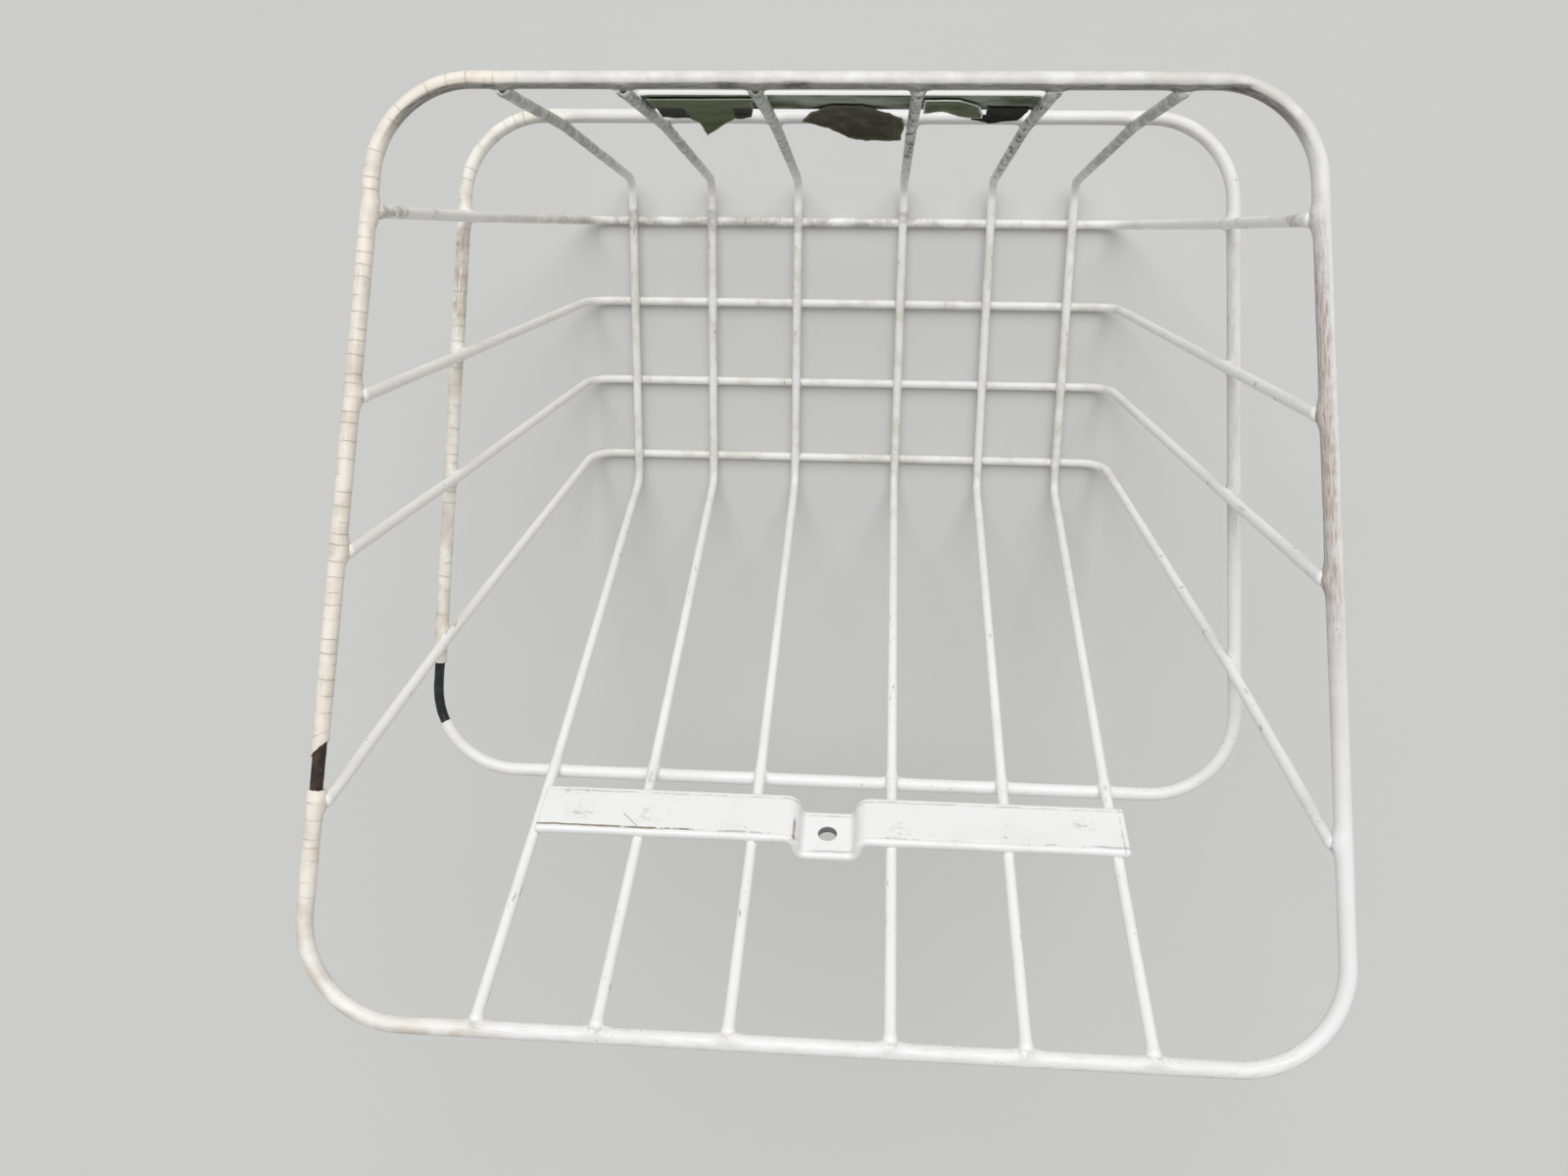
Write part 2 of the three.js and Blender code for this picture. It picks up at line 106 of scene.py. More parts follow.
@dataclass(frozen=True)
class Value:
    """A shader socket that takes part in Python arithmetic."""

    sheet: Sheet
    socket: bpy.types.NodeSocket

    def _math(self, operation: str, *terms: Value | float) -> Value:
        """Result of one Math node."""
        return self.sheet.take("ShaderNodeMath", {"operation": operation}, dict(enumerate(terms)))

    def __add__(self, other: Value | float) -> Value:
        """Sum."""
        return self._math("ADD", self, other)

    def __sub__(self, other: Value | float) -> Value:
        """Difference."""
        return self._math("SUBTRACT", self, other)

    def __rsub__(self, other: float) -> Value:
        """Difference, from the right."""
        return self._math("SUBTRACT", other, self)

    def __mul__(self, other: Value | float) -> Value:
        """Product."""
        return self._math("MULTIPLY", self, other)

    __radd__ = __add__
    __rmul__ = __mul__

    def most(self, other: Value | float) -> Value:
        """The larger of two values."""
        return self._math("MAXIMUM", self, other)

    def size(self) -> Value:
        """The value without its sign."""
        return self._math("ABSOLUTE", self)

    def ramp(self, low: float, high: float) -> Value:
        """Smooth step from 0 at low to 1 at high."""
        inputs = {0: self, 1: low, 2: high, 3: 0.0, 4: 1.0}
        return self.sheet.take("ShaderNodeMapRange", {"interpolation_type": "SMOOTHSTEP"}, inputs)

    def band(self, middle: float, half: float, soft: float) -> Value:
        """1 within half of the middle, falling to 0 over the soft margin."""
        return 1 - (self - middle).size().ramp(half, half + soft)


class Sheet:
    """A node tree, written from top to bottom."""

    def __init__(self, owner: bpy.types.Material | bpy.types.World) -> None:
        """Empties the owner's tree.

        Args:
            owner: The material or world that it belongs to.
        """
        self.owner = owner
        owner.use_nodes = True
        self.tree = owner.node_tree
        self.tree.nodes.clear()

    def node(self, kind: str, settings: dict, inputs: dict) -> bpy.types.Node:
        """Adds a node.

        Args:
            kind: The node's type.
            settings: Properties, set before anything is linked.
            inputs: Values or links by socket name or number.

        Returns:
            The new node.
        """
        made = self.tree.nodes.new(kind)
        for key, value in settings.items():
            setattr(made, key, value)
        for key, value in inputs.items():
            if isinstance(value, Value):
                self.tree.links.new(value.socket, made.inputs[key])
            else:
                made.inputs[key].default_value = value
        return made

    def take(self, kind: str, settings: dict, inputs: dict, output: str | int = 0) -> Value:
        """Adds a node and returns one of its outputs."""
        return Value(self, self.node(kind, settings, inputs).outputs[output])

    def position(self) -> Value:
        """Place on the piece, in the CAD frame."""
        return self.take("ShaderNodeTexCoord", {}, {}, "Object")

    def parts(self, vector: Value) -> tuple[Value, Value, Value]:
        """The three parts of a vector."""
        made = self.node("ShaderNodeSeparateXYZ", {}, {0: vector})
        return tuple(Value(self, output) for output in made.outputs)

    def attribute(self, name: str) -> Value:
        """A number stored on the piece's vertices."""
        return self.take("ShaderNodeAttribute", {"attribute_name": name}, {}, "Fac")

    def scaled(self, vector: Value, scale: tuple[float, float, float]) -> Value:
        """A vector stretched along its axes."""
        return self.take("ShaderNodeVectorMath", {"operation": "MULTIPLY"}, {0: vector, 1: scale})

    def noise(self, vector: Value, scale: float, detail: float = 3.0, rough: float = 0.55) -> Value:
        """Cloudy noise about 0.5: clouds per metre, octaves and the share of each finer octave."""
        inputs = {"Vector": vector, "Scale": scale, "Detail": detail, "Roughness": rough}
        return self.take("ShaderNodeTexNoise", {}, inputs)

    def cells(self, along: Value, pitch: float) -> Value:
        """Distance to the nearest of uneven marks along a line, as a share of their pitch."""
        settings = {"voronoi_dimensions": "1D", "feature": "DISTANCE_TO_EDGE"}
        return self.take("ShaderNodeTexVoronoi", settings, {"W": along, "Scale": 1 / pitch}, "Distance")


@dataclass
class Look:
    """What varies over a surface. Height is in millimetres."""

    sheet: Sheet
    colour: Value | Colour
    rough: Value
    height: Value

    def paint(self, share: Value | float, colour: Colour) -> None:
        """Lays a share of one more colour over the surface."""
        inputs = {0: share, 6: self.colour, 7: colour}
        self.colour = self.sheet.take("ShaderNodeMix", {"data_type": "RGBA", "clamp_factor": True}, inputs, 2)

    def finish(self, constants: dict | None = None) -> bpy.types.Material:
        """Ends the sheet in one Principled surface.

        Args:
            constants: Further sockets of the shader with one value all over.

        Returns:
            The finished material.
        """
        bump = {"Height": self.height, "Distance": 0.001, "Strength": 1.0}
        normal = self.sheet.take("ShaderNodeBump", {}, bump)
        inputs = {"Base Color": self.colour, "Roughness": self.rough, "Normal": normal}
        shader = self.sheet.take("ShaderNodeBsdfPrincipled", {}, inputs | (constants or {}))
        self.sheet.node("ShaderNodeOutputMaterial", {}, {0: shader})
        return self.sheet.owner


# Finishes


@dataclass(frozen=True)
class Finish:
    """A finish that is mixed once and shared by its pieces."""

    name: str

    def material(self) -> bpy.types.Material:
        """Gives the finish's material, made when it is first asked for.

        Returns:
            The material.
        """
        made = bpy.data.materials.get(self.name)
        if made:
            return made
        sheet = Sheet(bpy.data.materials.new(self.name))
        return self.mix(sheet, sheet.position())

    def mix(self, sheet: Sheet, place: Value) -> bpy.types.Material:
        """Writes the node tree."""
        raise NotImplementedError


@dataclass(frozen=True)
class Coating(Finish):
    """White plastic dip coating: satin, a little uneven, dirty in the creases at the welds."""

    white: Colour = (0.82, 0.825, 0.82, 1.0)
    ivory: Colour = (0.73, 0.725, 0.68, 1.0)
    grime: Colour = (0.23, 0.18, 0.115, 1.0)
    # Near black: specks of dirt, and painted shade in the bolt hole, the dimples and the spots on the plate.
    soot_and_shade: Colour = (0.07, 0.068, 0.055, 1.0)
    shine: float = 0.30
    gloss: float = 0.5

    def mix(self, sheet: Sheet, place: Value) -> bpy.types.Material:
        """Writes the clean coat, its ageing, crease dirt and specks.

        Args:
            sheet: The material's empty sheet.
            place: Place on the piece.

        Returns:
            The material.
        """
        cloud = sheet.noise(place, 38.0, 4.0)
        fine = sheet.noise(place, 420.0, 3.0)
        look = Look(sheet, self.white, self.shine + 0.22 * cloud, 0.10 * cloud + 0.012 * fine)
        look.paint(cloud.ramp(0.46, 0.8) * 0.5, self.ivory)
        self.age(sheet, place, look)
        crease = sheet.attribute("weld").ramp(0.45, 0.95)
        dirt = crease * sheet.noise(place, 330.0, 4.0, 0.65).ramp(0.42, 0.6)
        look.paint(dirt * 0.75, self.grime)
        specks = sheet.noise(place, 1150.0, 1.0).ramp(0.735, 0.77) * cloud.ramp(0.4, 0.62)
        look.paint(specks * 0.75, self.soot_and_shade)
        look.rough = look.rough + 0.25 * dirt
        return look.finish({"IOR": 1.46, "Specular IOR Level": self.gloss})

    def age(self, sheet: Sheet, place: Value, look: Look) -> None:
        """Adds the wear of one kind of piece to its look."""


@dataclass(frozen=True)
class HoopWear:
    """What a hoop's wear is drawn with: places on the hoop, and noise in streaks and blotches."""

    x: Value
    y: Value
    inward: Value
    along: Value
    streaks: Value
    blotch: Value


@dataclass(frozen=True)
class HoopCoating(Coating):
    """Coating of the rim or the ring: yellowed and cracked at the left, scuffed at the right, and painted
    dark under the front as shade, partly dirt.
    """

    cream: Colour = (0.86, 0.80, 0.70, 1.0)
    tan: Colour = (0.56, 0.49, 0.39, 1.0)
    crack: Colour = (0.24, 0.155, 0.085, 1.0)
    mauve: Colour = (0.52, 0.46, 0.42, 1.0)
    scuff: Colour = (0.34, 0.285, 0.25, 1.0)
    shade_and_dirt: Colour = (0.115, 0.117, 0.104, 1.0)
    cream_front: float = -0.098
    cream_rear: float = -0.12
    crack_pitch: float = 0.0046
    corner_span: tuple[float, float] = (-0.122, -0.085)
    scuff_span: tuple[float, float] = (0.005, 0.078)
    scuff_share: float = 0.85
    front_share: float = 1.0
    stain: Colour = (0.07, 0.068, 0.055, 1.0)
    stain_share: float = 0.9
    stain_spots: Spots = ()

    def age(self, sheet: Sheet, place: Value, look: Look) -> None:
        """Adds cream with its cracks, scuffs, the front's dirt with painted shade underneath, and stains, in
        that order.

        Args:
            sheet: The material's sheet.
            place: Place on the piece.
            look: The look that it is added to.
        """
        x, y, _ = sheet.parts(place)
        inward, along = map(sheet.attribute, ("inward", "along"))
        lengthwise = sheet.take("ShaderNodeCombineXYZ", {}, {0: along * 0.08, 1: inward * 0.0027})
        streaks = sheet.noise(lengthwise, 2000.0, 4.0, 0.7)
        wear = HoopWear(x, y, inward, along, streaks, sheet.noise(place, 85.0, 5.0, 0.6))
        yellow = self.add_cream(sheet, place, look, wear)
        self.add_scuffs(look, wear)
        self.add_front_dirt_and_shade(look, wear, yellow)
        self.add_stains(look, wear)

    def add_cream(self, sheet: Sheet, place: Value, look: Look, wear: HoopWear) -> Value:
        """Yellows, cracks and soils the coat at the left, with painted shade beside the cracks.

        Args:
            sheet: The finish's sheet.
            place: Place on the piece.
            look: The look that it is added to.
            wear: What it is drawn with.

        Returns:
            How yellow the coat is.
        """
        drift = (sheet.noise(place, 30.0, 2.0) - 0.5) * 0.02
        leftwards = 1 - (wear.x + drift).ramp(self.cream_front - 0.012, self.cream_front + 0.01)
        yellow = leftwards * (wear.y + drift).ramp(self.cream_rear - 0.045, self.cream_rear + 0.01)
        corner = leftwards * (1 - wear.y.ramp(*self.corner_span))
        look.paint(yellow * (0.92 - 0.42 * corner), self.cream)
        look.paint(yellow * wear.blotch.ramp(0.42, 0.76) * 0.7, self.tan)
        wander = (sheet.noise(place, 260.0, 2.0) - 0.5) * 0.001
        gap = sheet.cells(wear.along + wander, self.crack_pitch)
        broken = yellow * sheet.noise(place, 150.0, 3.0).ramp(0.36, 0.60) * (1 - 0.8 * corner)
        line = (1 - gap.ramp(0.006, 0.042)) * broken
        look.paint(line * 0.42, self.crack)
        smeared = yellow.most(1 - wear.y.ramp(-0.136, -0.128)) * wear.streaks.ramp(0.46, 0.68)
        look.paint(smeared * wear.blotch.ramp(0.36, 0.6) * 0.42, self.mauve)
        # Painted shade: tan beside each crack.
        look.paint((1 - gap.ramp(0.03, 0.2)) * broken * 0.15, self.tan)
        look.height = look.height - 0.12 * line
        soiled = corner * (1 - wear.inward.ramp(-0.85, -0.3)) * wear.blotch.ramp(0.34, 0.6)
        look.paint(soiled * 0.6, self.tan)
        return yellow

    def add_scuffs(self, look: Look, wear: HoopWear) -> None:
        """Stains and rubs the right side.

        Args:
            look: The look that it is added to.
            wear: What it is drawn with.
        """
        low, high = self.scuff_span
        right = wear.x.ramp(0.06, 0.12) * wear.inward.ramp(-1.1, -0.6)
        stained = right * wear.y.band(0.045, 0.075, 0.04).most(wear.y.ramp(0.12, 0.135))
        look.paint(stained * (0.18 + 0.35 * wear.blotch.ramp(0.35, 0.6)) * self.scuff_share, self.mauve)
        scuffed = right * wear.y.band((low + high) / 2, (high - low) / 2, 0.035)
        look.paint(scuffed * self.scuff_share * 0.68, self.mauve)
        rubbed = scuffed * wear.streaks.ramp(0.43, 0.6) * wear.blotch.ramp(0.3, 0.5) * self.scuff_share
        look.paint(rubbed, self.scuff)
        look.rough = look.rough + 0.2 * rubbed

    def add_front_dirt_and_shade(self, look: Look, wear: HoopWear, yellow: Value) -> None:
        """Greys the front side with dirt where it isn't yellow, and darkens it underneath with dark grey:
        painted shade, partly dirt.

        Args:
            look: The look that it is added to.
            wear: What it is drawn with.
            yellow: How yellow the coat is.
        """
        ahead = wear.y.ramp(0.118, 0.132) * self.front_share
        look.paint(ahead * (1 - yellow) * wear.blotch.ramp(0.3, 0.62) * 0.5, self.mauve)
        # Painted shade, partly dirt: the front's lower inner side darkened with a dark grey.
        below = ahead * wear.inward.ramp(-0.57, -0.25) * (0.66 + 0.3 * wear.streaks.ramp(0.42, 0.62))
        look.paint(below, self.shade_and_dirt)

    def add_stains(self, look: Look, wear: HoopWear) -> None:
        """Adds streaky stains at single spots.

        Args:
            look: The look that it is added to.
            wear: What it is drawn with.
        """
        for spot_x, spot_y, reach_x, reach_y in self.stain_spots:
            near = wear.x.band(spot_x, reach_x * 0.4, reach_x) * wear.y.band(spot_y, reach_y * 0.4, reach_y)
            look.paint(near * wear.streaks.ramp(0.38, 0.54) * self.stain_share, self.stain)


@dataclass(frozen=True)
class WireCoating(Coating):
    """Coating of the thin wires: specked on the front wall and grey-green on its inner sides, painted shade
    and painted green reflection that are partly dirt; yellowish and rubbed on the floor.
    """

    white: Colour = (0.87, 0.873, 0.86, 1.0)
    warm: Colour = (0.88, 0.85, 0.79, 1.0)
    straw: Colour = (0.56, 0.52, 0.37, 1.0)
    shade_and_dirt: Colour = (0.205, 0.218, 0.178, 1.0)
    soil: Colour = (0.30, 0.27, 0.23, 1.0)

    def age(self, sheet: Sheet, place: Value, look: Look) -> None:
        """Adds the dirt of the floor, the front wall and the foremost cross wire, and painted shade with a
        painted green reflection on the front wall's inner sides.

        Args:
            sheet: The material's sheet.
            place: Place on the piece.
            look: The look that it is added to.
        """
        x, y, z = sheet.parts(place)
        patch = sheet.noise(place, 85.0, 4.0, 0.6)
        grain = sheet.noise(place, 520.0, 4.0, 0.7)
        low = 1 - z.ramp(0.012, 0.055)
        look.paint(low * patch.ramp(0.44, 0.66) * 0.4, self.straw)
        left = 1 - x.ramp(-0.127, -0.112)
        look.paint(left * 0.55, self.warm)
        inner = sheet.attribute("inward").ramp(-0.6, 0.1)
        # Painted shade with a painted green reflection, partly dirt: the front wall's inner sides greyed
        # green.
        front = y.ramp(0.112, 0.126) * (0.15 + 0.85 * inner)
        worst = front * (0.3 * x.band(-0.03, 0.04, 0.02)).most(x.band(0.045, 0.03, 0.012))
        mottle = sheet.noise(place, 230.0, 4.0, 0.6).ramp(0.36, 0.6)
        look.paint(front * (0.5 + 0.38 * mottle), self.shade_and_dirt)
        flecks = sheet.noise(sheet.scaled(place, (1.0, 1.0, 0.35)), 560.0, 3.0, 0.6)
        specked = worst * flecks.ramp(0.545, 0.585) * patch.ramp(0.33, 0.46)
        look.paint(specked * 0.92, self.soot_and_shade)
        foremost = y.band(0.0985, 0.004, 0.002) * (1 - x.ramp(0.02, 0.08)) * (1 - z.ramp(0.02, 0.19))
        greyed = foremost * patch.ramp(0.34, 0.56) * (0.5 + 0.5 * grain.ramp(0.42, 0.6))
        look.paint(greyed * 0.6, self.soil)
        upper = y.band(0.1, 0.012, 0.006) * z.ramp(0.12, 0.16) * patch.ramp(0.52, 0.62)
        look.paint(upper * (0.4 + 0.6 * grain.ramp(0.42, 0.58)) * 0.7, self.soil)
        scratch = sheet.noise(sheet.scaled(place, (1.0, 0.22, 0.22)), 700.0, 3.0).ramp(0.62, 0.68)
        look.paint(scratch * patch.ramp(0.5, 0.62) * 0.5, self.grime)
        # Painted shade, partly dirt: the dimples in the tips painted near black.
        look.paint(sheet.attribute("pit").ramp(0.2, 0.8) * 0.92, self.soot_and_shade)
        look.rough = look.rough + 0.2 * specked


@dataclass(frozen=True)
class StrapCoating(Coating):
    """Coating of the rear strap, with dirt along its edges, smudges, a scratch and painted shade inside its
    bolt hole.
    """

    white: Colour = (0.835, 0.84, 0.835, 1.0)
    half: float = 0.01075
    groove: float = 0.0022
    smudge_spots: Spots = ()

    def age(self, sheet: Sheet, place: Value, look: Look) -> None:
        """Adds the edge lines, the smudges, the scratch and the painted shade in the bolt hole.

        Args:
            sheet: The material's sheet.
            place: Place on the piece.
            look: The look that it is added to.
        """
        along, across, facing = map(sheet.attribute, ("along", "across", "facing"))
        wander = (sheet.noise(place, 160.0, 3.0) - 0.5) * 0.0012
        broken = sheet.noise(place, 120.0, 4.0, 0.65)
        inset = self.half - self.groove
        lower = (across + wander).band(inset, 0.00022, 0.0004) * facing
        upper = (across + wander).band(-inset, 0.00016, 0.0003) * facing
        left = along.band(-0.0727, 0.0255, 0.006)
        look.paint(lower * left * broken.ramp(0.34, 0.46) * 0.95, self.grime)
        look.paint(lower * broken.ramp(0.45, 0.6) * 0.5, self.grime)
        look.paint(upper * broken.ramp(0.4, 0.6) * 0.4, self.grime)
        ends = along.band(0.1046, 0.0001, 0.0003) * facing * broken.ramp(0.4, 0.56)
        look.paint(ends * 0.4, self.grime)
        look.height = look.height - 0.10 * lower - 0.10 * upper - 0.06 * ends
        corner = along.band(-0.0098, 0.0002, 0.0005) * across.band(0.004, 0.005, 0.002) * facing
        look.paint(corner * broken.ramp(0.4, 0.55) * 0.75, self.grime)
        grain = sheet.noise(sheet.scaled(place, (0.5, 1.0, 1.0)), 700.0, 5.0, 0.75)
        for spot_along, spot_across in self.smudge_spots:
            near = along.band(spot_along, 0.001, 0.009) * across.band(spot_across, 0.0005, 0.005)
            look.paint(near * grain.ramp(0.5, 0.62) * broken.ramp(0.4, 0.56) * facing * 0.5, self.grime)
        slope = across - (along + 0.0715) * (6.7 / 6.5) - 0.0016
        scratch = slope.band(0.0, 0.0001, 0.0002) * along.band(-0.06825, 0.0026, 0.0008) * facing
        look.paint(scratch * 0.85, self.grime)
        haze = facing * broken.ramp(0.52, 0.72) * grain.ramp(0.5, 0.66)
        look.paint(haze * 0.3, self.ivory)
        # Painted shade: the bolt hole's wall painted near black.
        look.paint(sheet.attribute("bore").ramp(0.35, 0.95) * 0.85, self.soot_and_shade)


@dataclass(frozen=True)
class PlateCoating(Coating):
    """Coating of the front plate, its inner face painted dark green-grey and with black spots: painted shade
    and painted green reflection, partly the film's glue residue.
    """

    white: Colour = (0.88, 0.88, 0.86, 1.0)
    glue_and_shade: Colour = (0.07, 0.09, 0.045, 1.0)
    gloss: float = 0.05
    residue_and_shade_spots: Spots = ()

    def age(self, sheet: Sheet, place: Value, look: Look) -> None:
        """Adds a dark green veil where the film was, painted shade and painted green reflection that are
        partly glue residue, and the black spots, partly residue and partly painted shade.

        Args:
            sheet: The material's sheet.
            place: Place on the piece.
            look: The look that it is added to.
        """
        along, across, facing = map(sheet.attribute, ("along", "across", "facing"))
        edge = (sheet.noise(place, 260.0, 4.0, 0.65) - 0.5) * 0.006
        # Painted shade and painted green reflection, partly glue residue: the inner face veiled dark green.
        veil = facing * (0.72 + 0.28 * sheet.noise(place, 60.0, 4.0).ramp(0.36, 0.7))
        look.paint(veil, self.glue_and_shade)
        look.rough = look.rough + 0.5 * veil
        # Black spots, partly glue residue and partly painted shade under the hanging film.
        for spot, level, half in self.residue_and_shade_spots:
            near = (along + edge).band(spot, half, 0.0006) * (across + edge).band(level, 0.0035, 0.0006)
            look.paint(near * facing * 0.93, self.soot_and_shade)
            look.rough = look.rough + 0.25 * near * facing


@dataclass(frozen=True)
class BareSteel(Finish):
    """Steel of a hoop where the coating has broken off."""

    dark: Colour
    light: Colour
    rough: float
    metal: float
    relief: float
    patches: float

    def mix(self, sheet: Sheet, place: Value) -> bpy.types.Material:
        """Writes patches, grain and pits.

        Args:
            sheet: The material's empty sheet.
            place: Place on the piece.

        Returns:
            The material.
        """
        patch = sheet.noise(place, self.patches, 4.0, 0.65)
        grain = sheet.noise(place, 1400.0, 3.0, 0.7)
        relief = self.relief * grain + self.relief * patch
        look = Look(sheet, self.dark, self.rough + 0.3 * (patch - 0.5), relief)
        look.paint(patch.ramp(0.4, 0.66), self.light)
        look.paint(grain.ramp(0.56, 0.7) * 0.5, self.dark)
        return look.finish({"Metallic": self.metal})


@dataclass(frozen=True)
class TornFilm(Finish):
    """Weathered film: fibrous and mottled, with a painted highlight along its torn edge, and black at some
    spots, partly glue and partly painted shade.
    """

    body: Colour
    streak: Colour
    edge: Colour
    edge_share: float = 0.8
    glue_and_shade: Colour = (0.012, 0.012, 0.009, 1.0)
    glue_and_shade_spots: tuple[float, ...] = ()
    spot_reach: float = 0.0058
    spot_top: float = 0.175
    spot_soft: float = 0.0006

    def mix(self, sheet: Sheet, place: Value) -> bpy.types.Material:
        """Writes the mottling, the fibres, the painted highlight along the torn edge, and the black spots,
        partly glue and partly painted shade.

        Args:
            sheet: The material's empty sheet.
            place: Place on the piece.

        Returns:
            The material.
        """
        mottle = sheet.noise(place, 190.0, 5.0, 0.65)
        fibres = sheet.noise(sheet.scaled(place, (0.25, 1.0, 1.6)), 640.0, 4.0, 0.7)
        look = Look(sheet, self.body, 0.5 + 0.3 * (mottle - 0.5), 0.12 * mottle + 0.03 * fibres)
        look.paint(mottle.ramp(0.42, 0.7) * 0.85, self.streak)
        look.paint(fibres.ramp(0.55, 0.7) * 0.3, self.streak)
        # Painted highlight: the strip along the torn edge lightened.
        look.paint(sheet.attribute("torn").ramp(0.25, 0.95) * self.edge_share, self.edge)
        x, _, z = sheet.parts(place)
        ragged = (mottle - 0.5) * 0.006
        # Black spots, partly glue and partly painted shade of the film hanging below the plate.
        for spot in self.glue_and_shade_spots:
            low = 1 - (z + ragged).ramp(self.spot_top, self.spot_top + self.spot_soft)
            look.paint(low * (x + ragged).band(spot, self.spot_reach, self.spot_soft) * 0.96, self.glue_and_shade)
        return look.finish({"Specular IOR Level": 0.03})


@dataclass(frozen=True)
class PaleFloor(Finish):
    """Plain pale floor."""

    pale: Colour = (0.64, 0.64, 0.63, 1.0)
    shade: Colour = (0.63, 0.63, 0.62, 1.0)

    def mix(self, sheet: Sheet, place: Value) -> bpy.types.Material:
        """Writes one colour with a faint cloud.

        Args:
            sheet: The material's empty sheet.
            place: Place on the piece.

        Returns:
            The material.
        """
        cloud = sheet.noise(place, 3.0, 3.0)
        look = Look(sheet, self.pale, 0.75 + 0.1 * cloud, 0.02 * cloud)
        look.paint(cloud.ramp(0.4, 0.7), self.shade)
        return look.finish()


# Centre lines


@dataclass(frozen=True)
class Run:
    """One straight or evenly bent stretch of a wire's centre line."""

    start: Vector
    heading: Vector
    length: float
    radius: float = 0.0
    axis: Vector = field(default_factory=lambda: Vector((0.0, 0.0, 1.0)))

    @property
    def centre(self) -> Vector:
        """Centre of the bend."""
        return self.start + self.axis.cross(self.heading) * self.radius

    def at(self, distance: float) -> tuple[Vector, Vector]:
        """Follows the run.

        Args:
            distance: How far, from the run's start.

        Returns:
            The place and the heading there.
        """
        if not self.radius:
            return self.start + self.heading * distance, self.heading.copy()
        turn = Matrix.Rotation(distance / self.radius, 3, self.axis)
        return self.centre + turn @ (self.start - self.centre), turn @ self.heading

    def cut(self, low: float, high: float) -> Run:
        """The part of the run between two distances."""
        place, heading = self.at(low)
        return Run(place, heading, high - low, self.radius, self.axis)


def bent(corners: Sequence[Vector], radii: Sequence[float]) -> list[Run]:
    """Rounds a line through corners.

    Args:
        corners: The line's ends and corners in order.
        radii: One bend radius for each inner corner.

    Returns:
        Straight and bent runs by turns.
    """
    runs: list[Run] = []
    start = corners[0]
    for before, corner, after, radius in zip(corners, corners[1:], corners[2:], radii):
        incoming = (corner - before).normalized()
        outgoing = (after - corner).normalized()
        turn = incoming.angle(outgoing)
        setback = radius * math.tan(turn / 2)
        bend = corner - incoming * setback
        runs.append(Run(start, incoming, (bend - start).length))
        runs.append(Run(bend, incoming, radius * turn, radius, incoming.cross(outgoing).normalized()))
        start = corner + outgoing * setback
    last = corners[-1] - start
    return [*runs, Run(start, last.normalized(), last.length)]


def split(runs: Sequence[Run], cuts: Sequence[float]) -> list[Run]:
    """Cuts a centre line at some distances along it.

    Args:
        runs: The centre line.
        cuts: Distances from its start, in order. What lies outside the first and the last is left out.

    Returns:
        The runs between the cuts.
    """
    kept: list[Run] = []
    for low, high in zip(cuts, cuts[1:]):
        passed = 0.0
        for run in runs:
            first, last = max(low - passed, 0.0), min(high - passed, run.length)
            if last - first > TINY:
                kept.append(run.cut(first, last))
            passed += run.length
    return kept


def length_of(runs: Sequence[Run]) -> float:
    """Length of a centre line."""
    return sum(run.length for run in runs)


# Surfaces that the coating gathers against, and its unevenness


@dataclass(frozen=True)
class Rod:
    """A straight stretch of another wire."""

    start: Vector
    end: Vector
    radius: float
    gather: float
    dirt: float = 1.0

    def gap(self, place: Vector) -> float:
        """Measures how far away the rod is.

        Args:
            place: Where it is measured from.

        Returns:
            The distance to its surface, negative inside it.
        """
        line = self.end - self.start
        share = (place - self.start).dot(line) / line.length_squared
        return (place - self.start - line * min(1.0, max(0.0, share))).length - self.radius


@dataclass(frozen=True)
class Bar:
    """A flat bar in a wall's own frame."""

    into: Matrix
    low: Vector
    high: Vector
    gather: float
    dirt: float = 0.8

    def gap(self, place: Vector) -> float:
        """Measures how far away the bar is.

        Args:
            place: Where it is measured from.

        Returns:
            The distance to its surface, or 0 inside it.
        """
        local = self.into @ place
        beyond = [max(low - part, 0.0, part - high) for low, part, high in zip(self.low, local, self.high)]
        return Vector(beyond).length


Neighbour = Rod | Bar


def gathered(place: Vector, near: Sequence[Neighbour]) -> tuple[float, float]:
    """How the coating gathers at a place.

    Args:
        place: A point on a wire's plain surface.
        near: What it may touch.

    Returns:
        How far the coating stands proud there, and how dirty the crease is from 0 to 1.
    """
    proud, close = 0.0, 0.0
    for other in near:
        gap = other.gap(place)
        if gap < other.gather:
            room = other.gather - max(gap, -0.2 * other.gather)
            proud = max(proud, room * room / (4 * other.gather))
            close = max(close, other.dirt * min(1.0, 1 - gap / other.gather))
    return proud, close


@dataclass(frozen=True)
class Lumps:
    """Unevenness of a surface, always inwards: its depth and how many lumps there are to a metre."""

    depth: float
    scale: float

    def at(self, place: Vector) -> float:
        """How far the surface stands out at a place, at most 0."""
        return self.depth * 0.5 * (noise.noise(place * self.scale) - 1.0)


HOOP_LUMPS = Lumps(0.00012, 55.0)
WEB_LUMPS = Lumps(0.00006, 55.0)
WIRE_LUMPS = Lumps(0.0001, 70.0)
STEEL_PITS = Lumps(0.00016, 420.0)


# Mesh tools


def poured(mesh: BMesh, name: str) -> bpy.types.Mesh:
    """Turns a bmesh into mesh data.

    Args:
        mesh: The bmesh, freed here.
        name: The data's name.

    Returns:
        The mesh data.
    """
    data = bpy.data.meshes.new(name)
    mesh.to_mesh(data)
    mesh.free()
    return data


